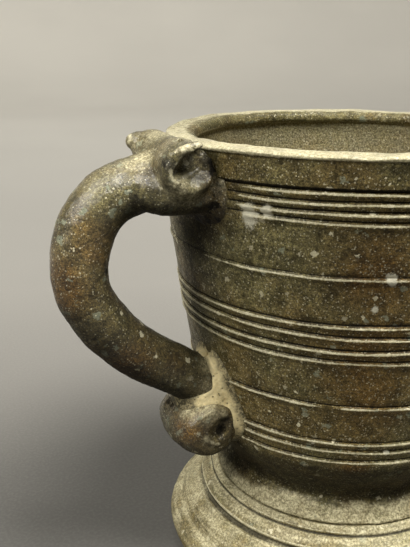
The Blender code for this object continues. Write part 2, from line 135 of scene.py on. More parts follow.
class MortarFinish(bpy.types.PropertyGroup):
    """Colours of the old metal, its dirt and its repairs"""

    olive: tint("Olive bronze", "Main colour of the old skin", (0.142, 0.126, 0.056))
    brown: tint("Brown bronze", "Warm patches in the skin", (0.160, 0.092, 0.022))
    # The black also paints shadow in the grooves and under edges; the worn bronze and pale dust colours
    # also paint highlights on crests, the rim, the handle and the roll
    black: tint("Black grime", "Dirt held in the grooves", (0.012, 0.010, 0.006))
    worn: tint("Worn bronze", "Metal rubbed bare on edges", (0.740, 0.690, 0.480))
    dust: tint("Pale dust", "Dust and polish dried on the shelves", (0.720, 0.660, 0.420))
    verdigris: tint("Verdigris", "Green-grey specks of corrosion", (0.300, 0.340, 0.250))
    chalk: tint("Chalky scuff", "Whitish scuffs on the wall", (0.560, 0.540, 0.420))
    filler: tint("Tan filler", "Filler round the roots of the handle", (1.000, 0.880, 0.560))


class MortarStageLook(bpy.types.PropertyGroup):
    """Floor, light and camera"""

    floor_colour: tint("Floor colour", "Plain pale floor", (0.700, 0.670, 0.590))
    light_distance: length("Light distance", "Distance of the soft lights from the piece", 1.5)
    key_power: power("Key power", "Soft light overhead", 46.0)
    key_size: length("Key size", "Width of the soft light overhead", 0.8)
    key_bearing: bearing("Key bearing", "Side the overhead light stands on, from +X", -60.0)
    key_rise: bearing("Key rise", "Angle of the overhead light above the table", 66.0)
    side_power: power("Side power", "Soft light from the handle's side", 25.0)
    side_size: length("Side size", "Width of the soft light at the side", 0.85)
    side_bearing: bearing("Side bearing", "Side the side light stands on, from +X", -174.0)
    side_rise: bearing("Side rise", "Angle of the side light above the table", 44.0)
    back_power: power("Back power", "Light on the backdrop only", 13.0)
    room_light: share("Room light", "Even light from all round", 0.05, 4.0)
    focal_length: FloatProperty(name="Focal length", description="Lens", default=48.478, unit="CAMERA")


def lattice_value(cell, seed):
    """A repeatable random number between -1 and 1 for each whole-number place."""
    mixed = cell[:, 0] * 73856093 ^ cell[:, 1] * 19349663 ^ cell[:, 2] * 83492791 ^ seed * 2654435
    mixed = (mixed ^ (mixed >> 13)) * 1274126177
    mixed ^= mixed >> 16
    return (mixed & 65535) / 32767.5 - 1.0


def soft_noise(points, size, seed):
    """Smooth noise between -1 and 1 at each point, in lumps about size across."""
    scaled = points / size
    cell = np.floor(scaled).astype(np.int64)
    part = scaled - cell
    part = part * part * (3.0 - 2.0 * part)
    total = np.zeros(len(points))
    for corner in itertools.product((0, 1), repeat=3):
        weight = np.prod(np.where(np.array(corner), part, 1.0 - part), axis=1)
        total += weight * lattice_value(cell + np.array(corner), seed)
    return total


def layered_noise(points, size, seed, layers=3):
    """Soft noise with finer and weaker layers added."""
    total = np.zeros(len(points))
    for layer in range(layers):
        total += soft_noise(points, size / 2.0**layer, seed + 17 * layer) / 1.8**layer
    return total


def ease(value, low, high):
    """Rises smoothly from 0 at low to 1 at high."""
    part = np.clip((value - low) / (high - low), 0.0, 1.0)
    return part * part * (3.0 - 2.0 * part)


def rounded_line(points, spacing, passes=3):
    """Cuts the corners off a line of (radius, height) points and spaces it out evenly."""
    line = np.array(points, dtype=float)
    for _ in range(passes):
        first = line[:-1] * 0.75 + line[1:] * 0.25
        second = line[:-1] * 0.25 + line[1:] * 0.75
        middle = np.stack([first, second], axis=1).reshape(-1, 2)
        line = np.vstack([line[:1], middle, line[-1:]])
    along = np.concatenate([[0.0], np.cumsum(np.linalg.norm(np.diff(line, axis=0), axis=1))])
    count = max(2, int(round(along[-1] / spacing)) + 1)
    spots = np.linspace(0.0, along[-1], count)
    return np.stack([np.interp(spots, along, line[:, axis]) for axis in (0, 1)], axis=1)


def add_values(mesh, **values):
    """Keeps a number on each point of the mesh for the materials to read."""
    for name, numbers in values.items():
        layer = mesh.attributes.new(name, "FLOAT", "POINT")
        layer.data.foreach_set("value", np.clip(numbers, 0.0, 1.0).astype(np.float32))


def place(mesh, name):
    item = bpy.data.objects.new(name, mesh)
    bpy.context.scene.collection.objects.link(item)
    return item


def points_of(mesh):
    flat = np.empty(len(mesh.vertices) * 3)
    mesh.vertices.foreach_get("co", flat)
    return flat.reshape(-1, 3)


def normals_of(mesh):
    flat = np.empty(len(mesh.vertices) * 3)
    mesh.vertex_normals.foreach_get("vector", flat)
    return flat.reshape(-1, 3)


def move_points(mesh, points):
    mesh.vertices.foreach_set("co", points.reshape(-1))
    mesh.update()


def spun_mesh(name, radii, heights):
    """A closed turned mesh from rows by steps; the first and last rows are single points."""
    rows, steps = radii.shape
    turn = np.linspace(0.0, math.tau, steps, endpoint=False)
    ring_x = radii[1:-1] * np.cos(turn)
    ring_y = radii[1:-1] * np.sin(turn)
    rings = np.stack([ring_x, ring_y, heights[1:-1]], axis=2).reshape(-1, 3)
    ends = np.array([[0.0, 0.0, heights[0, 0]], [0.0, 0.0, heights[-1, 0]]])
    spots = np.vstack([rings, ends])
    first_end, last_end = len(rings), len(rings) + 1
    start = np.arange(rows - 3)[:, None] * steps
    here = np.arange(steps)[None, :]
    after = (here + 1) % steps
    quads = np.stack([start + here, start + after, start + steps + after, start + steps + here], axis=2)
    faces = quads.reshape(-1, 4).tolist()
    last = (rows - 3) * steps
    for step in range(steps):
        following = (step + 1) % steps
        faces.append((first_end, following, step))
        faces.append((last_end, last + step, last + following))
    mesh = bpy.data.meshes.new(name)
    mesh.from_pydata(spots.tolist(), [], faces)
    mesh.shade_smooth()
    return mesh


def spun_values(numbers):
    """Puts a rows-by-steps table in the order of a spun mesh's points."""
    return np.concatenate([numbers[1:-1].reshape(-1), [numbers[0, 0], numbers[-1, 0]]])


def round_steps():
    return 640


def ring_places(radii, heights):
    """Where each row-by-step crossing of a turned piece lies."""
    turn = np.linspace(0.0, math.tau, radii.shape[1], endpoint=False)[None, :]
    return np.stack([radii * np.cos(turn), radii * np.sin(turn), heights], axis=2).reshape(-1, 3)


def patch(places, angle, height, wide, tall):
    """1 at a spot on the wall given by its angle in degrees and its height, fading to 0 round it."""
    around = np.arctan2(places[:, 1], places[:, 0]) - math.radians(angle)
    around = (around + math.pi) % math.tau - math.pi
    reach = np.hypot(places[:, 0], places[:, 1]) * around / wide
    rise = (places[:, 2] - height) / tall
    return np.exp(-(reach**2 + rise**2))


def patches(places, rows):
    """The strongest of several patches: bearing in degrees, height, width and depth in mm, strength."""
    total = np.zeros(len(places))
    for angle, height, wide, tall, amount in rows:
        total = np.maximum(total, amount * patch(places, angle, height * MM, wide * MM, tall * MM))
    return total


def crumbs(places, rows, tall):
    """Small lumps in metres: bearing in degrees, then height, width and rise in millimetres."""
    total = np.zeros(len(places))
    for angle, height, wide, rise in rows:
        total += patch(places, angle, height * MM, wide * MM, tall) * rise * MM
    return total


def wall_radius(sizes, height):
    """Plain outer radius of the tapering wall."""
    part = (height - sizes.base_height) / (RIM_HEIGHT - sizes.base_height)
    straight = sizes.base_radius + (sizes.mouth_radius - sizes.base_radius) * part
    return straight + 4.0 * sizes.wall_bulge * part * (1.0 - part)


# The old knock in the rim: its bearing, its spread, and the heights between which it grows
KNOCK_BEARING = 155.0
KNOCK_SPREAD = 0.037
KNOCK_START = 0.110
KNOCK_FULL = 0.131


def rim_push(sizes, places):
    """How far the wall is knocked inwards beside the handle, near the rim."""
    beside = patch(places, KNOCK_BEARING, RIM_HEIGHT, KNOCK_SPREAD, 1.0)
    return beside * ease(places[:, 2], KNOCK_START, KNOCK_FULL) * sizes.rim_knock


# Each raised line: its height, how strong it is, and how deep the groove above it is
RAISED_LINES = (
    (125.00, 1.05, 1.00),
    (122.55, 1.00, 0.90),
    (120.10, 1.05, 0.90),
    (117.65, 0.95, 0.80),
    (103.60, 0.85, 0.55),
    (90.20, 1.00, 0.85),
    (87.10, 1.05, 0.80),
    (83.10, 1.00, 0.90),
    (80.00, 0.95, 0.80),
    (65.90, 0.95, 0.70),
    (54.00, 0.85, 0.60),
    (51.20, 0.80, 0.60),
    (47.60, 1.00, 0.70),
)


# The first four die out beside the scroll; two more have a worn spot: bearing, height, width and share lost
LINES_BY_THE_SCROLL = 4
WORN_SPOTS = {4: (178.0, 0.1036, 0.016, 0.75), 9: (-132.1, 0.070, 0.0030, 0.9)}


def line_shape(drop, rise, groove):
    """Profile of one raised line by the distance below its crest, in millimetres."""
    above = ease(drop, -0.85, 0.0)
    below = 1.0 - ease(drop, 0.15, 1.55)
    crest = rise * np.where(drop < 0.0, above, below)
    return crest - groove * np.exp(-(((drop + 1.00) / 0.28) ** 2))


def bowl_rows(sizes):
    """(radius, height) rows of the bowl, from the floor inside, over the rim, to its underside."""
    spring = sizes.floor_height + 0.022
    spring_radius = wall_radius(sizes, spring) - 0.0098
    inner_rim = sizes.lip_radius - sizes.rim_thickness
    angles = np.linspace(0.0, math.pi / 2.0, 26)
    cup = np.stack([spring_radius * np.sin(angles), spring - 0.022 * np.cos(angles)], axis=1)
    inside = rounded_line(
        [
            (spring_radius, spring),
            (spring_radius + 2.6 * MM, 0.078),
            (inner_rim - 2.0 * MM, 0.098),
            (inner_rim + 0.6 * MM, 0.117),
            (inner_rim + 1.3 * MM, 0.127),
            (inner_rim + 1.2 * MM, 0.1304),
        ],
        1.1 * MM,
    )
    rim = rounded_line(
        [
            (inner_rim + 1.2 * MM, 0.1304),
            (inner_rim - 0.2 * MM, 0.1310),
            (inner_rim - 0.4 * MM, 0.1326),
            (inner_rim + 0.4 * MM, 0.1342),
            (inner_rim + 3.5 * MM, 0.1346),
            (sizes.lip_radius - 2.6 * MM, 0.1343),
            (sizes.lip_radius - 0.7 * MM, 0.1345),
            (sizes.lip_radius + 0.1 * MM, 0.1339),
            (sizes.lip_radius - 0.1 * MM, 0.1334),
            (sizes.lip_radius - 0.8 * MM, 0.1329),
        ],
        0.24 * MM,
        2,
    )
    band_bottom = RIM_HEIGHT - sizes.band_height
    band = rounded_line(
        [
            (sizes.lip_radius - 0.8 * MM, 0.1329),
            (wall_radius(sizes, 0.1310) + 0.5 * MM, 0.1310),
            (wall_radius(sizes, band_bottom) + 0.65 * MM, band_bottom + 0.9 * MM),
            (wall_radius(sizes, band_bottom) + 0.5 * MM, band_bottom + 0.1 * MM),
            (wall_radius(sizes, band_bottom), band_bottom - 0.1 * MM),
        ],
        0.45 * MM,
        2,
    )
    heights = [band_bottom - 0.1 * MM]
    crests = np.array([row[0] for row in RAISED_LINES]) * MM
    while heights[-1] > sizes.base_height:
        nearest = np.min(np.abs(heights[-1] - 0.2 * MM - crests))
        heights.append(heights[-1] - (0.16 * MM if nearest < 1.7 * MM else 0.7 * MM))
    wall = np.array([(wall_radius(sizes, height), height) for height in heights[1:]])
    share_down = np.linspace(0.0, 1.0, 22)[1:]
    swing = 0.5 + 0.5 * np.cos(math.pi * share_down)
    neck = np.stack(
        [
            sizes.neck_radius + (sizes.base_radius - sizes.neck_radius) * swing,
            sizes.base_height + (sizes.neck_height - sizes.base_height) * share_down,
        ],
        axis=1,
    )
    shelf = rounded_line(
        [
            (sizes.neck_radius, sizes.neck_height),
            (sizes.neck_radius + 0.1 * MM, sizes.neck_height - 0.5 * MM),
            (sizes.neck_radius + 1.3 * MM, sizes.neck_height - 1.5 * MM),
            (sizes.seam_radius - 1.1 * MM, sizes.seam_height + 2.3 * MM),
            (sizes.seam_radius + 0.1 * MM, sizes.seam_height + 0.7 * MM),
            (sizes.seam_radius - 0.5 * MM, sizes.seam_height - 0.1 * MM),
        ],
        0.3 * MM,
        2,
    )
    underside = sizes.seam_height - 0.2 * MM
    under = np.array([(0.034, underside), (0.020, underside), (0.0, underside)])
    return np.vstack([cup, inside[1:], rim[1:], band[1:], wall, neck, shelf[1:], under])


def noise_grid(places, shape, size, seed, layers=3):
    """Layered noise as a table of rows by steps."""
    return layered_noise(places, size, seed, layers).reshape(shape)


# LIT_BEARING is the side turned to the light: the low shelf is painted lighter on this side and painted
# with shade away from it
LIT_BEARING = -70.0
FAR_RIM_BEARING = 125.0
INSIDE_DUST = 0.38
RIM_DUST = 0.42
CRACK = (-113.2, 0.0340, 0.0032, 0.0006)
CRACK_DEPTH = 0.0007

# Crumbs, splashes and patches on the bowl, as crumbs and patches read them
SHELF_CRUMBS = (
    (-134.6, 28.8, 1.0, 0.5),
    (-113.3, 28.1, 1.2, 0.6),
    (-94.1, 27.8, 1.3, 0.6),
    (-109.7, 24.0, 1.4, 0.4),
)
WHITE_SPLASHES = (
    (-118.2, 104.2, 1.9, 2.2, 1.0),
    (-121.6, 95.9, 1.1, 1.7, 0.9),
    (-155.2, 117.6, 3.2, 4.4, 1.0),
    (-150.0, 119.5, 2.2, 3.0, 0.8),
    (-136.9, 53.4, 0.7, 0.7, 0.9),
    (-112.2, 51.8, 1.2, 0.8, 1.0),
    (-100.0, 72.0, 2.4, 3.2, 0.6),
    (20.0, 95.0, 3.0, 4.0, 0.7),
    (75.0, 70.0, 2.2, 3.2, 0.6),
    (120.0, 108.0, 2.6, 3.6, 0.6),
)
BOWL_WARM = (
    (-122.1, 46.2, 4.5, 1.4, 1.0),
    (-122.0, 105.0, 12.0, 11.0, 0.85),
    (-118.0, 78.0, 14.0, 16.0, 0.65),
    (-95.0, 110.0, 16.0, 12.0, 0.5),
    (-60.0, 85.0, 18.0, 20.0, 0.5),
    (40.0, 100.0, 20.0, 22.0, 0.5),
    (150.0, 75.0, 14.0, 18.0, 0.5),
)
# Painted shade on the bowl: patches darkened where shade falls, most of all on the wall under the scroll
# and the handle's head
BOWL_PAINTED_SHADE = (
    (-174.0, 112.0, 12.0, 9.0, 1.0),
    (-166.0, 117.0, 4.0, 8.0, 0.9),
    (-178.0, 108.0, 12.0, 12.0, 1.0),
    (180.0, 90.0, 7.0, 22.0, 0.6),
    (-124.0, 106.0, 17.0, 14.0, 0.45),
    (-126.0, 78.0, 14.0, 14.0, 0.25),
    (-110.0, 111.0, 17.0, 12.0, 0.35),
    (-135.0, 90.0, 9.0, 8.0, 0.25),
)


def line_fade(number, slow, places, shape, radii):
    """How strongly a raised line stands at each place; number counts the lines from the rim down."""
    fade = np.clip(0.82 + 0.30 * noise_grid(slow, shape, 0.007, 90 + number, 3), 0.12, 1.25)
    if number < LINES_BY_THE_SCROLL:
        away = np.abs(np.arctan2(places[:, 1], -places[:, 0])).reshape(shape) * radii
        ragged = away + 0.003 * noise_grid(places, shape, 0.004, 31, 2)
        fade *= 1.0 - 0.92 * (1.0 - ease(ragged, 0.0185, 0.0265))
    if number in WORN_SPOTS:
        angle, height, wide, lost = WORN_SPOTS[number]
        fade *= 1.0 - lost * patch(places, angle, height, wide, 0.02).reshape(shape)
    return fade


def bowl_mesh(sizes):
    """The bowl with its raised lines, and on each point its rubbed, grimy, pale, chalky and warm marks and
    its painted shade; part of the rubbed and pale marks is painted highlight, and part of the grimy marks
    is painted shadow.
    """
    rows = bowl_rows(sizes)
    steps = round_steps()
    radii = np.repeat(rows[:, :1], steps, axis=1)
    heights = np.repeat(rows[:, 1:], steps, axis=1)
    shape = radii.shape
    places = ring_places(radii, heights)
    outer = np.arange(len(rows))[:, None] * np.ones(shape)
    rim_row = int(np.argmax(rows[:, 1]))
    band_bottom = RIM_HEIGHT - sizes.band_height
    on_wall = (outer > rim_row) & (heights < band_bottom) & (heights >= sizes.base_height - 0.2 * MM)
    worn = np.zeros(shape)
    grime = np.zeros(shape)
    slow = places * np.array([1.0, 1.0, 0.15])
    for number, (crest, rise, groove) in enumerate(RAISED_LINES):
        near = np.abs(heights * PER_METRE - crest) < 3.0
        drift = noise_grid(slow, shape, 0.016, 40 + number, 2) * sizes.line_wander * PER_METRE
        fade = line_fade(number, slow, places, shape, radii)
        drop = crest + drift - heights * PER_METRE
        push = line_shape(drop, rise * fade, groove * (0.75 + 0.25 * fade) * 0.55)
        radii = np.where(near & on_wall, radii + push * sizes.line_rise, radii)
        # Painted highlight and shadow: each crest is painted as rubbed metal, partly real wear and partly a
        # highlight on its upper shoulder, and the groove above it is darkened as painted shadow
        crest_wear_and_highlight = np.exp(-(((drop + 0.16) / 0.30) ** 2)) * fade
        worn = np.where(near & on_wall, np.maximum(worn, crest_wear_and_highlight), worn)
        shadow = np.exp(-(((drop + 0.98) / 0.27) ** 2)) * groove
        grime = np.where(near & on_wall, np.maximum(grime, shadow), grime)
    # Painted highlight: the rim's top and outer lip are painted as rubbed metal and pale deposit, partly
    # real wear and partly the light glancing off the rim
    on_rim = (heights > np.where(outer > rim_row, 0.1332, 0.1308)) & (np.abs(outer - rim_row) < 60)
    lip = np.exp(-(((radii - sizes.lip_radius) / 0.0014) ** 2)) * on_rim
    top = on_rim * ease(radii, sizes.lip_radius - sizes.rim_thickness, sizes.lip_radius - 0.005)
    worn = np.maximum(worn, np.maximum(lip, 0.78 * top + 0.25 * on_rim))
    # Painted shadow under the lower edge of the band
    under_band = np.exp(-(((heights - band_bottom) / 0.0005) ** 2)) * (outer > rim_row)
    grime = np.maximum(grime, under_band)
    broad = noise_grid(places, shape, 0.021, 3, 2)
    small = noise_grid(places, shape, 0.0048, 4, 3)
    keep = np.clip(radii / 0.010, 0.0, 1.0)
    knock = rim_push(sizes, places).reshape(shape) * keep
    radii = radii - knock
    heights = heights - knock * 0.4
    radii = radii + (broad * sizes.lumps + small * sizes.lumps * 0.32) * keep
    heights = heights + on_rim * noise_grid(places, shape, 0.009, 6, 3) * 0.00022
    radii -= patch(places, *CRACK).reshape(shape) * CRACK_DEPTH * (outer > rim_row)
    radii += crumbs(places, SHELF_CRUMBS, 0.8 * MM).reshape(shape) * (outer > rim_row)
    mesh = spun_mesh("bowl_casting", radii, heights)
    outside = (outer > rim_row).reshape(-1)
    chalk = patches(places, WHITE_SPLASHES) * outside
    warm = patches(places, BOWL_WARM)
    flat = heights.reshape(-1)
    # Painted shade: the neck is darkened all round, and the low shelf on the side turned away from the
    # light
    facing = np.cos(np.arctan2(places[:, 1], places[:, 0]).reshape(shape) - math.radians(LIT_BEARING))
    lit = ease(facing, -0.45, -0.20)
    soot = 0.85 * ease(flat, 0.0285, 0.0310) * (1.0 - ease(flat, 0.0445, 0.0470)) * outside
    soot = np.maximum(soot, 0.9 * (flat < 0.032) * (1.0 - lit.reshape(-1)) * outside)
    soot = np.maximum(soot, patches(places, BOWL_PAINTED_SHADE) * outside)
    # Painted shade: the far side of the rim keeps less of its rubbed metal and pale deposit
    shaded = 1.0 - 0.6 * patch(places, FAR_RIM_BEARING, RIM_HEIGHT, 0.050, 0.02).reshape(shape)
    worn = worn * np.where(on_rim, shaded, 1.0)
    cloudy = np.clip(0.95 + 0.8 * noise_grid(places, shape, 0.0042, 7, 3), 0.0, 1.5)
    dust = RIM_DUST * top * shaded * cloudy
    shelf = (outer > rim_row) & (heights < sizes.neck_height)
    # Painted light: the pale band of deposit on the shelf is real, but it is painted brighter and reaches
    # higher on the side turned to the light
    band_top = 0.0262 + 0.0022 * ease(facing, -0.35, 0.35)
    ragged = heights - band_top + 0.0009 * noise_grid(places, shape, 0.0040, 8, 3)
    near_seam = 1.0 - ease(ragged, -0.0010, 0.0014)
    dust = np.where(shelf, near_seam * (0.40 + 1.55 * lit), dust)
    dust = np.where((outer < rim_row) & (heights < 0.131), INSIDE_DUST, dust)
    add_values(
        mesh,
        worn=spun_values(worn),
        grime=spun_values(grime),
        dust=spun_values(dust),
        chalk=spun_values(chalk.reshape(shape)),
        warm=spun_values(warm.reshape(shape)),
        soot=spun_values(soot.reshape(shape)),
    )
    return mesh


def foot_rows(sizes, bowl):
    """(radius, height) rows of the foot, from its top over the slope and the flange to its underside."""
    top = bowl.seam_height - 0.3 * MM
    run = Vector((sizes.ledge_radius - bowl.seam_radius, sizes.ledge_height - top))
    along = run.normalized()
    outward = Vector((-along.y, along.x))

    def on_slope(part, rise):
        spot = Vector((bowl.seam_radius, top)) + along * run.length * part + outward * rise * MM
        return (spot.x, spot.y)

    depth = sizes.groove_depth * PER_METRE
    slope = rounded_line(
        [
            (bowl.seam_radius - 1.0 * MM, top - 0.2 * MM),
            (bowl.seam_radius + 0.1 * MM, top + 0.1 * MM),
            on_slope(0.045, 0.55),
            on_slope(0.105, 0.45),
            on_slope(0.135, -0.35),
            on_slope(0.175, 0.10),
            on_slope(0.250, 0.55),
            on_slope(0.340, 0.50),
            on_slope(0.365, 0.40),
            on_slope(0.385, -depth),
            on_slope(0.445, -depth),
            on_slope(0.475, 0.25),
            on_slope(0.560, 0.60),
            on_slope(0.700, 0.60),
            on_slope(0.830, 0.15),
            on_slope(0.880, -0.35),
            on_slope(0.920, -0.25),
            (sizes.ledge_radius - 0.6 * MM, sizes.ledge_height + 0.5 * MM),
            (sizes.ledge_radius + 0.6 * MM, sizes.ledge_height - 0.1 * MM),
            (sizes.radius - 0.7 * MM, sizes.edge_height + 2.4 * MM),
            (sizes.radius + 0.1 * MM, sizes.edge_height + 0.5 * MM),
            (sizes.radius - 0.1 * MM, sizes.edge_height - 1.2 * MM),
            (sizes.radius - 1.0 * MM, 0.9 * MM),
            (sizes.radius - 1.6 * MM, 0.0),
            (sizes.radius - 3.6 * MM, 0.0),
        ],
        0.22 * MM,
        2,
    )
    inner = np.array([(0.0, top - 0.2 * MM), (0.020, top - 0.2 * MM), (0.034, top - 0.2 * MM)])
    under = np.array([(0.040, 0.0), (0.020, 0.0), (0.0, 0.0)])
    return np.vstack([inner, slope, under])


FOOT_CRUMBS = (
    (-178.0, 12.5, 1.3, 0.35),
    (177.2, 12.1, 1.0, 0.35),
    (-175.5, 21.9, 1.0, 0.4),
    (-112.0, 22.8, 1.6, 0.4),
    (-60.0, 15.0, 1.2, 0.3),
    (30.0, 12.0, 1.4, 0.3),
    (110.0, 18.0, 1.2, 0.3),
)


def turned_noise(places, across, shape, stretch, size, seed):
    """Noise drawn out round the piece, as turning leaves it; across is the distance over the slope."""
    drawn = np.stack([places[:, 0] * stretch, places[:, 1] * stretch, across.reshape(-1)], axis=1)
    return noise_grid(drawn, shape, size, seed, 2)


def foot_mesh(sizes, bowl):
    """The spreading foot with its turned lines, crumbs and dust."""
    rows = foot_rows(sizes, bowl)
    steps = round_steps()
    radii = np.repeat(rows[:, :1], steps, axis=1)
    heights = np.repeat(rows[:, 1:], steps, axis=1)
    shape = radii.shape
    places = ring_places(radii, heights)
    slope = (heights > 0.6 * MM) & (radii > 0.036)
    across = (radii - bowl.seam_radius) + (bowl.seam_height - heights)
    fine = turned_noise(places, across, shape, 0.02, 0.0007, 21)
    wander = noise_grid(places * np.array([1.0, 1.0, 0.3]), shape, 0.012, 22, 3)
    small = noise_grid(places, shape, 0.0032, 23, 3)
    push = (wander * sizes.lumps + small * sizes.lumps * 0.45 + fine * 0.00006) * slope
    push += crumbs(places, FOOT_CRUMBS, 0.9 * MM).reshape(shape) * slope
    radii = radii + push * 0.75
    heights = heights + push * 0.65 * (heights > 1.2 * MM)
    run = np.gradient(rows, axis=0)
    run /= np.maximum(np.linalg.norm(run, axis=1, keepdims=True), 1e-9)
    bend = np.gradient(np.arctan2(run[:, 1], run[:, 0]))
    bend = np.convolve(bend, np.ones(3) / 3.0, mode="same")
    turned = np.repeat(bend[:, None], steps, axis=1) * slope
    worn = ease(-turned, 0.03, 0.30)
    grime = ease(turned, 0.03, 0.30)
    none = spun_values(np.zeros(shape))
    mesh = spun_mesh("foot_casting", radii, heights)
    bands = turned_noise(places, across, shape, 0.12, 0.0016, 25)
    blotches = noise_grid(places, shape, 0.0075, 24, 4)
    broken = np.clip(0.60 + 0.50 * blotches + 0.55 * bands, 0.08, 1.1)
    dust = np.where(slope, ease(heights, 0.002, 0.007), 0.0) * broken
    dust *= 1.0 - 0.85 * grime
    add_values(
        mesh,
        worn=spun_values(worn),
        grime=spun_values(grime),
        dust=spun_values(dust),
        chalk=none,
        warm=none,
        soot=none,
    )
    return mesh


# The bar's bend: share of the reach and share of the drop at each point between the roots
BEND = ((0.35, 0.02), (0.74, 0.095), (0.95, 0.26), (1.0, 0.4), (0.965, 0.5), (0.75, 0.69), (0.255, 0.904))


def bend_point(handle, bowl, out_share, drop_share):
    """A point of the bar's centre line by its share of the reach and of the drop."""
    top = RIM_HEIGHT - handle.upper_drop
    height = top + (handle.lower_height - top) * drop_share
    return Vector((-wall_radius(bowl, height) - handle.reach * out_share, 0.0, height))


def handle_route(handle, bowl):
    """Centre line of the bar from the upper root to the lower one."""
    top = RIM_HEIGHT - handle.upper_drop
    upper = Vector((-wall_radius(bowl, top), 0.0, top))
    lower = Vector((-wall_radius(bowl, handle.lower_height), 0.0, handle.lower_height))
    return [upper] + [bend_point(handle, bowl, *pair) for pair in BEND] + [lower]


def bar_mesh(route, start_radius, end_radius):
    """A round bar along the route, as a closed mesh."""
    curve = bpy.data.curves.new("bar_line", "CURVE")
    curve.dimensions = "3D"
    curve.resolution_u = 16
    curve.bevel_resolution = 10
    curve.bevel_depth = start_radius
    curve.use_fill_caps = True
    spline = curve.splines.new("BEZIER")
    spline.bezier_points.add(len(route) - 1)
    for index, (point, spot) in enumerate(zip(spline.bezier_points, route)):
        point.co = spot
        point.handle_left_type = "AUTO"
        point.handle_right_type = "AUTO"
        point.radius = 1.0 + (end_radius / start_radius - 1.0) * index / (len(route) - 1)
    item = place(curve, "bar_line")
    bpy.context.view_layer.update()
    mesh = evaluated(item)
    bpy.data.objects.remove(item, do_unlink=True)
    bpy.data.curves.remove(curve)
    return mesh


def ball(size, centre, turn=None):
    """Mesh of a ball squashed to three half sizes."""
    shape = bmesh.new()
    bmesh.ops.create_uvsphere(shape, u_segments=24, v_segments=16, radius=1.0)
    matrix = Matrix.Translation(centre) @ (turn or Matrix.Identity(4)) @ Matrix.Diagonal((*size, 1.0))
    shape.transform(matrix)
    mesh = bpy.data.meshes.new("ball")
    shape.to_mesh(mesh)
    shape.free()
    return mesh


def spindle(profile, steps=64):
    """Closed mesh along Y. Each row is y, centre x, centre z, half width and half height, in mm."""
    spots = []
    for along, across, height, wide, tall in profile:
        for step in range(steps):
            angle = math.tau * step / steps
            spot = (across + wide * math.cos(angle), along, height + tall * math.sin(angle))
            spots.append(tuple(MM * value for value in spot))
    faces = []
    for row in range(len(profile) - 1):
        for step in range(steps):
            following = (step + 1) % steps
            here, there = row * steps, (row + 1) * steps
            faces.append((here + step, here + following, there + following, there + step))
    faces.append(tuple(range(steps - 1, -1, -1)))
    faces.append(tuple((len(profile) - 1) * steps + step for step in range(steps)))
    mesh = bpy.data.meshes.new("spindle")
    mesh.from_pydata(spots, [], faces)
    tidy = bmesh.new()
    tidy.from_mesh(mesh)
    bmesh.ops.remove_doubles(tidy, verts=tidy.verts, dist=1e-6)
    bmesh.ops.recalc_face_normals(tidy, faces=tidy.faces)
    tidy.to_mesh(mesh)
    tidy.free()
    return mesh


def rope(spots, thick):
    """Balls strung closely along a path of points; places and thickness are in millimetres."""
    path = [Vector(spot) * MM for spot in spots]
    balls = []
    for start, end in zip(path, path[1:]):
        count = max(1, int((end - start).length / (thick * MM * 0.35)))
        balls += [ball((thick * MM,) * 3, start.lerp(end, step / count)) for step in range(count)]
    balls.append(ball((thick * MM,) * 3, path[-1]))
    return balls


def evaluated(item):
    """A new mesh of the object with its modifiers applied."""
    return bpy.data.meshes.new_from_object(item.evaluated_get(bpy.context.evaluated_depsgraph_get()))


def sculpted(name, solids, hollows, voxel, smoothing, region=None):
    """Melts closed meshes into one even skin, cuts hollows out and keeps what lies in the region."""
    whole = bmesh.new()
    for mesh in solids:
        whole.from_mesh(mesh)
        bpy.data.meshes.remove(mesh)
    mesh = bpy.data.meshes.new(name)
    whole.to_mesh(mesh)
    whole.free()
    item = place(mesh, name)
    melt = item.modifiers.new("melt", "REMESH")
    melt.mode = "VOXEL"
    melt.voxel_size = voxel
    tools = [(hollow, "DIFFERENCE") for hollow in hollows]
    if region:
        tools.append((region, "INTERSECT"))
    cutters = []
    for tool, operation in tools:
        cutter = place(tool, "cutting_tool")
        cut = item.modifiers.new("cut", "BOOLEAN")
        cut.operation = operation
        cut.solver = "EXACT"
        cut.object = cutter
        cutters.append(cutter)
    if tools:
        again = item.modifiers.new("melt_again", "REMESH")
        again.mode = "VOXEL"
        again.voxel_size = voxel
    if smoothing:
        rub = item.modifiers.new("rub", "SMOOTH")
        rub.factor = 0.5
        rub.iterations = smoothing
    bpy.context.view_layer.update()
    skin = evaluated(item)
    skin.name = name
    for cutter in cutters:
        hollow = cutter.data
        bpy.data.objects.remove(cutter, do_unlink=True)
        bpy.data.meshes.remove(hollow)
    bpy.data.objects.remove(item, do_unlink=True)
    bpy.data.meshes.remove(mesh)
    skin.shade_smooth()
    return skin


def neighbours(mesh):
    """Both ends of every edge, each way round, and how many edges meet in each point."""
    pairs = np.empty(len(mesh.edges) * 2, dtype=np.int64)
    mesh.edges.foreach_get("vertices", pairs)
    pairs = pairs.reshape(-1, 2)
    ends = np.concatenate([pairs[:, 0], pairs[:, 1]])
    others = np.concatenate([pairs[:, 1], pairs[:, 0]])
    return ends, others, np.bincount(ends, minlength=len(mesh.vertices))


def averaged(points, links, passes, part=1.0):
    """Each point moved part of the way to its neighbours' middle, again and again."""
    ends, others, count = links
    for _ in range(passes):
        sums = [np.bincount(ends, points[others, axis], len(points)) / count for axis in range(3)]
        points = points + (np.stack(sums, axis=1) - points) * part
    return points


def bend_of(mesh, passes):
    """How far each point stands proud of its neighbours, over a wider patch with more passes."""
    points = points_of(mesh)
    return np.sum((points - averaged(points, neighbours(mesh), passes)) * normals_of(mesh), axis=1)


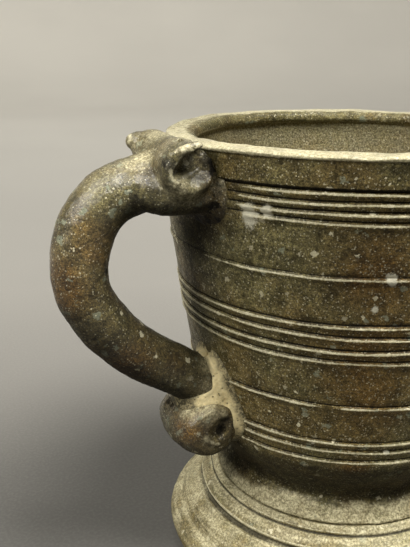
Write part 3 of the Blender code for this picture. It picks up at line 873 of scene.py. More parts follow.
def roughen(mesh, coarse, fine, seed):
    """Broad and small unevenness along the normals; either height may differ from point to point."""
    points = points_of(mesh)
    broad = layered_noise(points, 0.011, seed, 2) * coarse
    small = layered_noise(points, 0.0021, seed + 5, 3) * fine
    move_points(mesh, points + normals_of(mesh) * (broad + small)[:, None])


def mark_edges(mesh, reach, dirt_and_shade=0.0, dust=0.0, warm=0.0, soot=0.0, calm=0.0):
    """Marks rubbed edges and grimy hollows from the bend of the skin, with extra marks added, painted
    highlights and painted shade among them.
    """
    proud = bend_of(mesh, 12) / reach
    none = np.zeros(len(mesh.vertices))
    add_values(
        mesh,
        worn=ease(proud, 0.15, 1.0) * (1.0 - calm),
        grime=np.maximum(ease(-proud, 0.12, 0.9) * (1.0 - calm), dirt_and_shade + none),
        dust=dust + none,
        chalk=none,
        warm=warm + none,
        soot=soot + none,
    )


# Paths of the scroll's upper lip and of the flare under it, in millimetres
SCROLL_LIP = ((-68.2, -15.0, 132.3), (-65.0, -16.1, 133.8), (-61.8, -16.0, 134.4), (-59.4, -14.4, 133.0))
SCROLL_FLARE = ((-73.0, -4.0, 122.8), (-67.0, -7.5, 121.4), (-61.5, -9.0, 121.4), (-57.0, -9.5, 121.4))


def scroll_solids(grow=0.0):
    """The scroll across the handle's head, and the hollow at its near end, cut wider by grow."""
    saddle = spindle(
        [
            (12.6, -62.6, 130.8, 1.5, 1.5),
            (12.4, -62.6, 130.8, 3.8, 3.6),
            (11.4, -62.4, 130.7, 5.2, 5.0),
            (9.4, -62.3, 130.4, 5.9, 5.7),
            (5.0, -62.1, 130.0, 5.8, 5.7),
            (0.0, -62.2, 129.6, 5.9, 5.8),
            (-6.0, -62.8, 129.2, 6.3, 6.2),
            (-11.0, -63.4, 128.9, 6.8, 6.4),
            (-14.2, -63.5, 128.5, 7.2, 6.7),
            (-15.8, -63.4, 128.4, 6.8, 6.3),
            (-16.6, -63.4, 128.3, 5.8, 5.4),
        ]
    )
    nib = rope([(-65.2, 11.2, 133.2), (-67.2, 10.8, 132.8)], 2.3)
    lip = rope(SCROLL_LIP, 1.3)
    flare = rope(SCROLL_FLARE, 5.4)
    lean = Matrix.Rotation(math.radians(-28.0), 4, "Y")
    slit = ball((0.0070 + grow, 0.0072 + grow, 0.0028 + grow), Vector((-0.0626, -0.0172, 0.1307)), lean)
    dish = ball((0.0068 + grow, 0.0046 + grow, 0.0048 + grow), Vector((-0.0612, -0.0186, 0.1290)), lean)
    return [saddle] + nib + lip + flare, [slit, dish]


def wall_gap(points, sizes):
    """Distance of each point from the plain outside of the wall."""
    return np.hypot(points[:, 0], points[:, 1]) - wall_radius(sizes, points[:, 2]) + rim_push(sizes, points)


def wall_block(sizes, low, high, spread):
    """A piece of the wall behind the handle, between two heights, as a closed mesh."""
    block = bmesh.new()
    bmesh.ops.create_cube(block, size=2.0)
    bmesh.ops.subdivide_edges(block, edges=block.edges[:], cuts=15, use_grid_fill=True)
    for vert in block.verts:
        height = (low + high) / 2.0 + vert.co.z * (high - low) / 2.0
        angle = math.pi - vert.co.y * math.radians(spread)
        spot = np.array([[math.cos(angle), math.sin(angle), height]]) * np.array([0.05, 0.05, 1.0])
        radius = wall_radius(sizes, height) - float(rim_push(sizes, spot)[0]) - (1.0 - vert.co.x) * 2.0 * MM
        vert.co = (radius * math.cos(angle), radius * math.sin(angle), height)
    bmesh.ops.recalc_face_normals(block, faces=block.faces[:])
    mesh = bpy.data.meshes.new("wall_block")
    block.to_mesh(mesh)
    block.free()
    return mesh


def corners_filled(mesh, rounds):
    """Points with the inner corners filled and the outer ones kept, and how much was filled in."""
    outward = normals_of(mesh)
    start = points = points_of(mesh)
    links = neighbours(mesh)
    for _ in range(rounds):
        points = averaged(points, links, 4, 0.6)
        gain = np.sum((points - start) * outward, axis=1)
        points = points - outward * np.minimum(gain, 0.0)[:, None]
    return points, np.sum((points - start) * outward, axis=1)


def fillet_mesh(name, solids, hollows, region, voxel, rounds):
    """Skin that fills the inner corners between solids and stays out of sight elsewhere."""
    mesh = sculpted(name, solids, hollows, voxel, 0, region)
    outward = normals_of(mesh)
    points, gain = corners_filled(mesh, rounds)
    sink = (1.0 - ease(gain, 0.00004, 0.00040)) * 0.0020
    move_points(mesh, points - outward * sink[:, None])
    item = place(mesh, name)
    finer = item.modifiers.new("finer", "SUBSURF")
    finer.levels = finer.render_levels = 2
    bpy.context.view_layer.update()
    skin = evaluated(item)
    bpy.data.objects.remove(item, do_unlink=True)
    bpy.data.meshes.remove(mesh)
    skin.name = name
    return skin


def spot_sum(points, spots):
    """Soft spots of x, y, z, size in millimetres and strength, added on the surface."""
    total = np.zeros(len(points))
    for x, y, z, size, strength in spots:
        away = np.linalg.norm(points * PER_METRE - np.array([x, y, z]), axis=1)
        total = np.maximum(total, strength * np.exp(-((away / size) ** 2)))
    return total


# Soft spots on the handle, as spot_sum reads them
# Pale spots: real dust on the scroll's top, and painted highlights along the bar's upper curve, on the
# scroll's lip and on its lit top
HANDLE_DUST_AND_HIGHLIGHTS = (
    (-70.5, -3.0, 131.0, 3.2, 1.0),
    (-72.5, 5.0, 130.5, 4.0, 0.9),
    (-69.5, 9.0, 132.0, 3.0, 0.8),
    (-74.0, -3.5, 128.8, 3.0, 0.85),
    (-52.5, -4.5, 69.5, 2.5, 0.6),
    (-53.5, -8.0, 64.5, 2.5, 0.5),
    (-84.3, -2.8, 125.0, 4.0, 0.35),
    (-80.0, -3.2, 127.5, 4.0, 0.35),
    (-63.0, 3.0, 136.0, 6.0, 0.75),
    (-63.0, -9.0, 135.3, 4.5, 0.5),
    (-67.5, -9.0, 132.5, 3.5, 0.5),
    (-66.5, -16.4, 134.2, 1.0, 0.9),
    (-64.5, -17.0, 135.0, 1.0, 1.0),
    (-62.0, -17.0, 135.4, 1.0, 0.6),
    (-59.8, -16.6, 135.6, 1.0, 0.9),
    (-66.5, -15.5, 123.5, 3.2, 0.60),
    (-69.5, -11.0, 126.0, 2.0, 0.5),
    (-63.0, -15.8, 122.5, 2.6, 0.60),
)
# Dark spots: grime in two dents, and painted shade in the corner under the scroll's lip
HANDLE_DIRT_AND_SHADE = (
    (-74.4, -7.6, 122.5, 1.7, 0.9),
    (-81.9, -4.7, 102.2, 1.0, 1.0),
    (-83.5, -5.0, 100.5, 3.0, 0.35),
    (-69.2, -14.0, 130.0, 1.6, 1.0),
    (-69.0, -14.5, 128.2, 1.3, 0.9),
)
HANDLE_WARM = (
    (-93.8, -3.9, 99.0, 9.0, 0.9),
    (-76.7, -5.5, 76.0, 7.0, 0.8),
    (-86.0, -6.0, 110.0, 7.0, 0.6),
    (-63.0, -6.0, 74.0, 5.0, 0.5),
    (-90.0, 6.0, 110.0, 10.0, 0.6),
)
# Painted shade in the scroll's hollow and under its lip
HANDLE_PAINTED_SHADE = (
    (-70.5, -9.0, 123.5, 3.2, 0.6),
    (-68.5, -13.6, 130.0, 2.5, 0.95),
    (-68.3, -10.5, 127.5, 2.2, 0.6),
    (-60.5, -15.4, 126.3, 2.6, 0.85),
    (-69.2, -16.5, 130.2, 1.6, 0.9),
)
HANDLE_DENTS = ((-81.9, -4.7, 102.2, 0.9, 1.0), (-74.4, -7.6, 122.5, 1.3, 0.6))
LIP_CORNER = ((-68.6, -14.0, 130.3, 2.9, 1.1),)
SCROLL_CAVE = ((-62.6, -15.0, 129.8, 5.2, 1.0), (-60.5, -15.4, 129.0, 5.0, 1.0))


def handle_mesh(handle, bowl):
    """The bar and its scroll in one skin, rough near the wall, with painted shade in the scroll's hollow,
    under the bar and on its side towards the wall.
    """
    route = handle_route(handle, bowl)
    bar = bar_mesh(route, handle.bar_radius, handle.bar_low_radius)
    solids, hollows = scroll_solids()
    voxel = handle.grain * 1.0
    mesh = sculpted("handle_bar", [bar] + solids, hollows, voxel, 3)
    points = points_of(mesh)
    cave = spot_sum(points, SCROLL_CAVE)
    head = ease(points[:, 2], 0.104, 0.114) * (1.0 - 0.9 * ease(cave, 0.45, 0.75))
    filled, _ = corners_filled(mesh, 12)
    move_points(mesh, points + (filled - points) * head[:, None])
    points = points_of(mesh)
    near = 1.0 - ease(wall_gap(points, bowl), 0.0005, 0.0060)
    roughen(mesh, 0.00030, 0.00009 * (1.0 + 2.6 * near + 2.2 * cave), 61)
    dip = spot_sum(points, HANDLE_DENTS)
    move_points(mesh, points_of(mesh) - normals_of(mesh) * dip[:, None] * 0.0006)
    grit = layered_noise(points, 0.0022, 64, 3)
    dirt_and_shade = np.maximum(spot_sum(points, HANDLE_DIRT_AND_SHADE), near * (0.40 + 0.6 * grit))
    outward = normals_of(mesh)
    # Painted shade: the bar's underside, its side towards the wall and its lower half are darkened, and the
    # scroll's hollow most of all under the lip
    low_bar = 1.0 - ease(points[:, 2], 0.076, 0.100)
    soot = np.maximum(ease(-outward[:, 2], -0.15, 0.60) * 0.95, ease(outward[:, 0], 0.1, 0.8) * 0.75)
    deep = ease(points[:, 1], -0.0170, -0.0154) * ease(cave, 0.3, 0.7)
    lip_line = np.minimum(0.1339, 0.1337 + 0.86 * (points[:, 0] + 0.0623))
    under_lip = ease(points[:, 2] - lip_line, -0.0055, -0.0020)
    soot = np.maximum(soot, spot_sum(points, HANDLE_PAINTED_SHADE))
    soot = np.maximum(np.maximum(soot, low_bar * 0.5), deep * (0.62 + 0.36 * under_lip))
    below_lip = ease(lip_line - points[:, 2], 0.0002, 0.0012) * ease(cave, 0.10, 0.35)
    below_lip = np.maximum(below_lip, spot_sum(points, LIP_CORNER).clip(0.0, 1.0))
    mark_edges(
        mesh,
        0.00045,
        dirt_and_shade=dirt_and_shade,
        dust=spot_sum(points, HANDLE_DUST_AND_HIGHLIGHTS),
        warm=spot_sum(points, HANDLE_WARM),
        soot=soot,
        calm=0.9 * np.maximum(deep, below_lip),
    )
    return mesh


def roll_face():
    """The roll under the bar's lower end, with a nearly flat near face."""
    return spindle(
        [
            (12.0, -53.7, 50.5, 3.2, 3.0),
            (11.4, -53.7, 50.5, 5.6, 5.3),
            (9.4, -53.7, 50.5, 7.7, 7.3),
            (5.5, -53.7, 50.6, 8.8, 8.4),
            (0.0, -53.7, 50.8, 9.1, 8.7),
            (-5.0, -53.6, 51.0, 8.9, 8.6),
            (-8.4, -53.3, 51.3, 8.3, 8.2),
            (-10.4, -53.0, 51.5, 7.5, 7.6),
            (-11.2, -52.9, 51.6, 6.5, 6.8),
            (-11.5, -52.8, 51.6, 5.2, 5.5),
            (-11.6, -52.7, 51.5, 3.6, 3.8),
            (-11.6, -52.6, 51.5, 1.6, 1.7),
        ]
    )


ROLL_CRESCENT = ((-56.3, -11.0, 53.0), (-56.2, -11.5, 50.6), (-54.8, -11.7, 48.9), (-52.6, -11.6, 48.0))
# Pale spots: real marks on the crescent, and painted highlights on the roll's top
ROLL_DUST_AND_HIGHLIGHTS = (
    (-54.5, -8.0, 59.3, 3.6, 1.7),
    (-59.6, -5.4, 57.1, 2.2, 1.1),
    (-59.0, -8.0, 57.0, 2.2, 1.0),
    (-56.4, -11.5, 50.6, 1.0, 0.6),
    (-54.5, -11.6, 48.2, 1.0, 0.6),
    (-51.0, -10.8, 57.5, 1.6, 0.8),
)
# Dark spots: painted shade on the roll's far end, and grime by the dent on its near face
ROLL_DIRT_AND_SHADE = ((-61.0, 3.5, 56.8, 5.0, 0.5), (-51.2, -10.4, 51.8, 2.2, 0.8), (-50.0, -10.6, 55.0, 2.0, 0.7))
ROLL_WARM = ((-61.1, -7.5, 53.2, 5.0, 1.0), (-54.0, 10.0, 50.0, 6.0, 0.8))
# Spots on the lit top where the painted shade is left off
ROLL_UNSHADED = ((-56.5, -7.0, 58.5, 5.0, 1.0), (-61.1, -8.0, 53.2, 4.0, 0.9))


def roll_mesh(handle):
    """The roll with the dent, the pit and the crescent on its near face."""
    voxel = handle.grain * 0.8
    lean = Matrix.Rotation(math.radians(-35.0), 4, "Y")
    dent = ball((0.0042, 0.0021, 0.0036), Vector((-0.0516, -0.0122, 0.0524)), lean)
    pit = ball((0.0020, 0.0024, 0.0016), Vector((-0.0512, -0.0120, 0.0516)))
    crescent = rope(ROLL_CRESCENT, 0.8)
    mesh = sculpted("handle_roll", [roll_face()] + crescent, [dent, pit], voxel, 2)
    points = points_of(mesh)
    roughen(mesh, 0.00045, 0.00008, 71)
    # Painted shade under the roll and on its near face, left off its lit top
    outward = normals_of(mesh)
    below = np.maximum(ease(-outward[:, 2], -0.25, 0.6) * 0.85, 0.15)
    face = 0.45 * ease(-outward[:, 1], 0.7, 0.95)
    mark_edges(
        mesh,
        0.00045,
        dirt_and_shade=spot_sum(points, ROLL_DIRT_AND_SHADE),
        dust=spot_sum(points, ROLL_DUST_AND_HIGHLIGHTS),
        warm=spot_sum(points, ROLL_WARM),
        soot=np.maximum(below * (1.0 - 0.8 * spot_sum(points, ROLL_UNSHADED)), face),
    )
    return mesh


def upper_filler_mesh(handle, bowl):
    """Rough metal run into the corners between the wall, the bar's head and the scroll."""
    bar = bar_mesh(handle_route(handle, bowl), handle.bar_radius, handle.bar_low_radius)
    solids, hollows = scroll_solids(0.0018)
    block = wall_block(bowl, 0.100, 0.1338, 34.0)
    region = ball((0.0140, 0.0250, 0.0165), Vector((-0.0570, -0.0010, 0.1235)))
    mesh = fillet_mesh("upper_filler_lump", [bar, block] + solids, hollows, region, handle.grain * 1.6, 40)
    roughen(mesh, 0.00012, 0.00026, 81)
    points = points_of(mesh)
    dirt_and_shade = 0.15 + 0.75 * layered_noise(points, 0.0018, 84, 3)
    # Painted shade: the filler is darkened low down, where the scroll and the bar's head shade it
    soot = 0.10 + 0.85 * (1.0 - ease(points[:, 2], 0.114, 0.124))
    mark_edges(mesh, 0.00030, dirt_and_shade=dirt_and_shade, dust=0.60 * ease(points[:, 2], 0.119, 0.129), soot=soot)
    return mesh


def lower_filler_mesh(handle, bowl):
    """Filler smoothed into the corners between the wall, the bar's lower end and the roll."""
    bar = bar_mesh(handle_route(handle, bowl), handle.bar_radius, handle.bar_low_radius)
    block = wall_block(bowl, 0.040, 0.086, 34.0)
    region = ball((0.0170, 0.0200, 0.0215), Vector((-0.0520, 0.0, 0.0590)))
    mesh = fillet_mesh("lower_filler_lump", [bar, block, roll_face()], [], region, handle.grain * 1.6, 40)
    roughen(mesh, 0.00014, 0.00014, 91)
    points = points_of(mesh)
    low = 1.0 - ease(points[:, 2], 0.046, 0.056)
    thin = 1.0 - ease(wall_gap(points, bowl), -0.0002, 0.0022)
    left = 1.0 - ease(points[:, 0], -0.0600, -0.0550)
    behind = ease(points[:, 1], 0.002, 0.010)
    cloudy = np.clip(layered_noise(points, 0.0030, 93, 3), 0.0, 1.0)
    dirt_and_shade = 0.95 * np.max([low, thin, left, behind], axis=0) + 0.30 * cloudy
    route = np.array([tuple(spot) for spot in handle_route(handle, bowl)])
    spans = np.linalg.norm(points[:, None, :] - route[None, :, :], axis=2)
    off_bar = np.min(spans, axis=1) - handle.bar_low_radius
    dirt_and_shade = np.maximum(dirt_and_shade, 0.8 * (1.0 - ease(off_bar, 0.0002, 0.0018)))
    give = spot_sum(points, ((-51.3, -0.9, 72.8, 2.2, 1.0),))
    move_points(mesh, points - normals_of(mesh) * give[:, None] * 0.0014)
    mark_edges(mesh, 0.00040, dirt_and_shade=dirt_and_shade)
    return mesh


def wedge_mesh():
    """The small tapered wedge in the angle above the bar's lower end."""
    low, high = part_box("wedge")
    block = bmesh.new()
    bmesh.ops.create_cube(block, size=1.0)
    size = high - low
    for vert in block.verts:
        lean = 1.0 if vert.co.z > 0.0 else 0.6
        spread = Vector((size.x * 0.86 * lean, size.y, size.z))
        vert.co = (low + high) / 2.0 + vert.co * spread
    bmesh.ops.bevel(block, geom=block.edges[:], offset=0.00022, segments=2, affect="EDGES")
    bmesh.ops.subdivide_edges(block, edges=block.edges[:], cuts=3, use_grid_fill=True)
    mesh = bpy.data.meshes.new("wedge_nib")
    block.to_mesh(mesh)
    block.free()
    mesh.shade_smooth()
    roughen(mesh, 0.00008, 0.00005, 95)
    mark_edges(mesh, 0.0002, dust=0.2)
    return mesh


class NodeBench:
    """Adds nodes to a tree and links them in one line."""

    def __init__(self, tree):
        self.tree = tree

    def add(self, kind, inputs=None, **settings):
        node = self.tree.nodes.new(kind)
        for key, value in settings.items():
            setattr(node, key, value)
        for key, value in (inputs or {}).items():
            self.feed(node.inputs[key], value)
        return node

    def feed(self, socket, value):
        if isinstance(value, bpy.types.NodeSocket):
            self.tree.links.new(value, socket)
        elif socket.type == "RGBA" and len(value) == 3:
            socket.default_value = (*value, 1.0)
        else:
            socket.default_value = value

    def maths(self, operation, first, second=0.0, clamp=False):
        node = self.add("ShaderNodeMath", {0: first, 1: second}, operation=operation, use_clamp=clamp)
        return node.outputs[0]

    def times(self, first, second, clamp=False):
        return self.maths("MULTIPLY", first, second, clamp)

    def plus(self, first, second, clamp=False):
        return self.maths("ADD", first, second, clamp)

    def less(self, first, second, clamp=False):
        return self.maths("SUBTRACT", first, second, clamp)

    def most(self, first, second, clamp=False):
        return self.maths("MAXIMUM", first, second, clamp)

    def toned(self, colour, factors):
        return self.vector("MULTIPLY", colour, factors)

    def vector(self, operation, first, second=None):
        inputs = {0: first}
        if second is not None:
            inputs[1] = second
        node = self.add("ShaderNodeVectorMath", inputs, operation=operation)
        return node.outputs["Value"] if operation == "LENGTH" else node.outputs["Vector"]

    def band(self, value, low, high, top=1.0):
        """0 below low, rising smoothly to top at high; low may be the larger of the two."""
        node = self.add(
            "ShaderNodeMapRange",
            {"Value": value, "From Min": low, "From Max": high, "To Min": 0.0, "To Max": top},
            interpolation_type="SMOOTHSTEP",
        )
        return node.outputs["Result"]

    def blend(self, amount, first, second):
        node = self.add("ShaderNodeMix", {0: amount, 6: first, 7: second}, data_type="RGBA")
        return node.outputs[2]

    def fade(self, amount, first, second):
        node = self.add("ShaderNodeMix", {0: amount, 2: first, 3: second}, data_type="FLOAT")
        return node.outputs[0]

    def noise(self, place_in, scale, detail=3.0, roughness=0.55, distortion=0.0):
        inputs = {"Vector": place_in, "Scale": scale, "Detail": detail}
        inputs |= {"Roughness": roughness, "Distortion": distortion}
        return self.add("ShaderNodeTexNoise", inputs).outputs["Fac"]

    def cells(self, place_in, scale, feature="F1"):
        return self.add("ShaderNodeTexVoronoi", {"Vector": place_in, "Scale": scale}, feature=feature)

    def point_value(self, name):
        return self.add("ShaderNodeAttribute", attribute_name=name).outputs["Fac"]

    def split(self, vector):
        return self.add("ShaderNodeSeparateXYZ", {"Vector": vector}).outputs

    def joined(self, across, deep, high=0.0):
        return self.add("ShaderNodeCombineXYZ", {"X": across, "Y": deep, "Z": high}).outputs["Vector"]

    def bump(self, height, strength, distance):
        inputs = {"Height": height, "Strength": strength, "Distance": distance}
        return self.add("ShaderNodeBump", inputs).outputs["Normal"]

    def object_place(self):
        return self.add("ShaderNodeTexCoord").outputs["Object"]


def new_effect(name, inputs, outputs):
    """An empty node group with named inputs and outputs; returns it, a bench in it, and its two ends."""
    group = bpy.data.node_groups.new(name, "ShaderNodeTree")
    for label, kind, value in inputs:
        socket = group.interface.new_socket(label, in_out="INPUT", socket_type="NodeSocket" + kind)
        if value is not None:
            socket.default_value = value
    for label, kind in outputs:
        group.interface.new_socket(label, in_out="OUTPUT", socket_type="NodeSocket" + kind)
    bench = NodeBench(group)
    return group, bench, bench.add("NodeGroupInput").outputs, bench.add("NodeGroupOutput").inputs


def number_inputs(**values):
    """Rows for number inputs; an underscore in a name stands for a space."""
    return [(name.replace("_", " "), "Float", value) for name, value in values.items()]


PLACE = ("Place", "Vector", None)


def build_mottle(name):
    """Patches, blotches and grain of a cast skin, each between 0 and 1."""
    group, bench, given, result = new_effect(
        name,
        [PLACE, *number_inputs(Patch_Scale=45.0, Blotch_Scale=190.0, Grain_Scale=1100.0)],
        [("Patches", "Float"), ("Blotches", "Float"), ("Grain", "Float")],
    )
    patches = bench.noise(given["Place"], given["Patch Scale"], 3.0, 0.6, 0.4)
    blotches = bench.noise(given["Place"], given["Blotch Scale"], 5.0, 0.68, 0.6)
    grain = bench.noise(given["Place"], given["Grain Scale"], 4.0, 0.75)
    bench.feed(result["Patches"], bench.band(patches, 0.38, 0.64))
    bench.feed(result["Blotches"], bench.band(blotches, 0.36, 0.66))
    bench.feed(result["Grain"], bench.band(grain, 0.36, 0.66))
    return group


def build_flecks(name):
    """Small ragged flecks scattered over the surface."""
    group, bench, given, result = new_effect(
        name,
        [PLACE, *number_inputs(Scale=700.0, Amount=0.3, Ragged=0.0008)],
        [("Flecks", "Float"), ("Tone", "Float")],
    )
    finer = bench.times(given["Scale"], 1.7)
    wobble = bench.add("ShaderNodeTexNoise", {"Vector": given["Place"], "Scale": finer, "Detail": 3.0})
    shift = bench.vector("SUBTRACT", wobble.outputs["Color"], (0.5, 0.5, 0.5))
    scaled = bench.add("ShaderNodeVectorMath", {0: shift, "Scale": given["Ragged"]}, operation="SCALE")
    moved = bench.vector("ADD", given["Place"], scaled.outputs["Vector"])
    cells = bench.cells(moved, given["Scale"])
    split = bench.add("ShaderNodeSeparateColor", {"Color": cells.outputs["Color"]})
    chosen = bench.maths("LESS_THAN", split.outputs["Red"], given["Amount"])
    reach = bench.maths("MULTIPLY_ADD", split.outputs["Green"], 0.34)
    reach.node.inputs[2].default_value = 0.14
    edge = bench.plus(reach, 0.10)
    round_spot = bench.band(cells.outputs["Distance"], edge, reach)
    bench.feed(result["Flecks"], bench.times(round_spot, chosen))
    bench.feed(result["Tone"], split.outputs["Blue"])
    return group


def build_turning(name):
    """Fine marks that run round the piece, as a lathe or a mould leaves them."""
    group, bench, given, result = new_effect(
        name,
        [PLACE, *number_inputs(Fineness=900.0, Lean=0.0)],
        [("Marks", "Float"), ("Strands", "Float")],
    )
    place_in = bench.split(given["Place"])
    flat = bench.joined(place_in["X"], place_in["Y"])
    reach = bench.times(bench.vector("LENGTH", flat), given["Lean"])
    fast = bench.times(bench.plus(place_in["Z"], reach), given["Fineness"])
    slow = bench.split(bench.toned(flat, (55.0, 55.0, 55.0)))
    marks = bench.noise(bench.joined(slow["X"], slow["Y"], fast), 1.0, 4.0, 0.62)
    quick = bench.split(bench.toned(flat, (160.0, 160.0, 160.0)))
    strands = bench.noise(bench.joined(quick["X"], quick["Y"], bench.times(fast, 0.35)), 1.0, 4.0, 0.6)
    bench.feed(result["Marks"], bench.band(marks, 0.36, 0.64))
    bench.feed(result["Strands"], bench.band(strands, 0.38, 0.64))
    return group


def build_broken_mark(name):
    """A mark broken up by the grain of the metal: rubbed edges with painted highlights, grimy hollows with
    painted shade, and chalk.
    """
    group, bench, given, result = new_effect(
        name,
        [PLACE, *number_inputs(Edge=0.0, Amount=0.6, Scale=420.0)],
        [("Mask", "Float")],
    )
    broken = bench.noise(given["Place"], given["Scale"], 5.0, 0.72)
    lift = bench.times(bench.less(broken, 0.5), 1.5)
    total = bench.plus(bench.times(given["Edge"], 1.25), lift)
    start = bench.less(0.95, given["Amount"])
    mask = bench.band(total, start, bench.plus(start, 0.40))
    present = bench.band(given["Edge"], 0.02, 0.25)
    bench.feed(result["Mask"], bench.times(mask, present))
    return group


def build_pitting(name):
    """Height of small pits, grains and dents, around one half."""
    group, bench, given, result = new_effect(
        name,
        [PLACE, *number_inputs(Scale=900.0, Pits=0.5, Dents=0.5)],
        [("Height", "Float"), ("Pit Mask", "Float")],
    )
    grain = bench.noise(given["Place"], given["Scale"], 4.0, 0.7)
    broad = bench.noise(given["Place"], bench.times(given["Scale"], 0.22), 3.0, 0.6)
    cells = bench.cells(given["Place"], bench.times(given["Scale"], 0.75))
    split = bench.add("ShaderNodeSeparateColor", {"Color": cells.outputs["Color"]})
    chosen = bench.band(split.outputs["Red"], 0.72, 0.80)
    pit = bench.times(bench.band(cells.outputs["Distance"], 0.34, 0.12), chosen)
    height = bench.times(grain, 0.55)
    height = bench.plus(height, bench.times(broad, given["Dents"]))
    height = bench.less(height, bench.times(pit, given["Pits"]))
    bench.feed(result["Height"], height)
    bench.feed(result["Pit Mask"], pit)
    return group


EFFECTS = {
    "casting_mottle": build_mottle,
    "pale_flecks": build_flecks,
    "turning_marks": build_turning,
    "edge_rubbing": build_broken_mark,
    "skin_pitting": build_pitting,
}


def use_effect(bench, name, **inputs):
    """Places a shared effect in a material; an underscore in an input's name stands for a space."""
    group = bpy.data.node_groups.get(name) or EFFECTS[name](name)
    node = bench.add("ShaderNodeGroup", node_tree=group)
    for key, value in inputs.items():
        bench.feed(node.inputs[key.replace("_", " ")], value)
    return node.outputs


def new_material(name):
    material = bpy.data.materials.new(name)
    material.use_nodes = True
    bench = NodeBench(material.node_tree)
    return material, bench, material.node_tree.nodes["Principled BSDF"]


DUST_COVER = 0.85


def bronze(name, look, tones):
    """Old bronze. tones holds the strengths that differ from piece to piece."""
    material, bench, shader = new_material(name)
    spot = bench.object_place()

    def shared(kind, **inputs):
        return use_effect(bench, kind, Place=spot, **inputs)

    def broken_mark_where(mark, amount, scale):
        return shared("edge_rubbing", Edge=bench.point_value(mark), Amount=amount, Scale=scale)["Mask"]

    mottle = shared("casting_mottle", Patch_Scale=42.0, Blotch_Scale=240.0, Grain_Scale=1500.0)
    turning = shared("turning_marks", Fineness=tones["fineness"], Lean=tones["lean"])
    specks = shared("pale_flecks", Scale=2000.0, Amount=tones["specks"], Ragged=0.0005)
    cream = shared("pale_flecks", Scale=560.0, Amount=tones["cream"], Ragged=0.0022)
    green = shared("pale_flecks", Scale=430.0, Amount=tones["green"], Ragged=0.0030)
    pits = shared("skin_pitting", Scale=1500.0, Pits=tones["pits"], Dents=0.6)
    # The rubbed mask: wear on edges, with painted highlights on the raised lines and the rim
    rubbed = broken_mark_where("worn", tones["rub"], 520.0)
    # The grimy mask: grime, with painted shadow in the grooves and under edges
    grimy_and_shaded = broken_mark_where("grime", 0.62, 700.0)

    warm = bench.plus(bench.times(mottle["Patches"], tones["warm"]), bench.point_value("warm"), clamp=True)
    colour = bench.blend(warm, look["olive"], look["brown"])
    colour = bench.toned(colour, (tones["shade"],) * 3)
    darker = bench.toned(colour, (0.20, 0.19, 0.14))
    colour = bench.blend(bench.times(mottle["Blotches"], 0.75), colour, darker)
    lighter = bench.toned(colour, (3.9, 3.8, 3.4))
    grainy = bench.times(mottle["Grain"], bench.fade(tones["marks"], 1.0, turning["Marks"]))
    colour = bench.blend(bench.times(grainy, tones["grain"]), colour, lighter)
    gritty = bench.band(bench.noise(spot, 3200.0, 2.0, 0.6), 0.42, 0.60)
    gritted = bench.toned(colour, (0.30, 0.29, 0.24))
    colour = bench.blend(bench.times(gritty, 0.6), colour, gritted)
    colour = bench.blend(bench.times(turning["Strands"], tones["marks"] * 0.5), colour, darker)
    colour = bench.blend(bench.times(green["Flecks"], 0.45), colour, look["verdigris"])
    speck_tone = bench.times(specks["Flecks"], bench.fade(specks["Tone"], 0.10, 0.62))
    colour = bench.blend(speck_tone, colour, look["worn"])
    cream_tone = bench.times(cream["Flecks"], bench.fade(cream["Tone"], 0.25, 0.95))
    colour = bench.blend(cream_tone, colour, look["worn"])
    colour = bench.blend(bench.times(pits["Pit Mask"], 0.6), colour, look["black"])
    # Grime and painted groove shadow are laid on in black
    colour = bench.blend(bench.times(grimy_and_shaded, 0.92), colour, look["black"])
    gilt = bench.blend(mottle["Grain"], bench.toned(look["worn"], (0.52, 0.50, 0.42)), look["worn"])
    colour = bench.blend(bench.times(rubbed, 0.85), colour, gilt)
    # Painted shade: the colour is darkened to about a tenth where the piece lies in shade
    soot = bench.point_value("soot")
    painted_shade_colour = bench.toned(colour, (0.10, 0.09, 0.06))
    colour = bench.blend(bench.times(soot, 0.95, clamp=True), colour, painted_shade_colour)

    chalky = broken_mark_where("chalk", 0.42, 560.0)
    colour = bench.blend(bench.times(chalky, 0.7), colour, look["chalk"])

    upward = bench.split(bench.add("ShaderNodeNewGeometry").outputs["Normal"])["Z"]
    lying = bench.times(bench.band(upward, 0.15, 0.85), tones["settle"])
    # Pale deposit, with painted highlights laid on in the same pale colour
    shelf = bench.plus(bench.times(bench.point_value("dust"), tones["dust"]), lying, clamp=True)
    cloud = bench.plus(bench.times(mottle["Blotches"], 0.55), bench.times(mottle["Grain"], 0.35))
    dust_and_highlight_cover = bench.times(shelf, bench.plus(cloud, 0.38), clamp=True)
    dust_tone = bench.toned(look["dust"], (0.45, 0.43, 0.38))
    dust_colour = bench.blend(mottle["Grain"], dust_tone, look["dust"])
    colour = bench.blend(bench.times(dust_and_highlight_cover, DUST_COVER), colour, dust_colour)

    matt = bench.most(bench.most(dust_and_highlight_cover, chalky), bench.times(green["Flecks"], 0.8))
    dull = bench.most(bench.most(matt, grimy_and_shaded), soot, clamp=True)
    metallic = bench.fade(bench.most(matt, soot), tones["metallic"], 0.05)
    rough = bench.fade(mottle["Blotches"], tones["smooth"], tones["smooth"] + 0.18)
    rough = bench.fade(rubbed, rough, 0.40)
    rough = bench.fade(dull, rough, 0.90)
    bench.feed(shader.inputs["Base Color"], colour)
    bench.feed(shader.inputs["Metallic"], metallic)
    bench.feed(shader.inputs["Roughness"], rough)
    waxed = bench.less(1.0, dull, clamp=True)
    bench.feed(shader.inputs["Coat Weight"], bench.times(waxed, tones["wax"]))
    shader.inputs["Coat Roughness"].default_value = 0.22
    shader.inputs["Specular IOR Level"].default_value = tones["gloss"]
    height = bench.plus(pits["Height"], bench.times(turning["Marks"], tones["marks"] * 0.4))
    height = bench.plus(height, bench.times(mottle["Grain"], 0.35))
    bench.feed(shader.inputs["Normal"], bench.bump(height, tones["bump"], 0.0004))

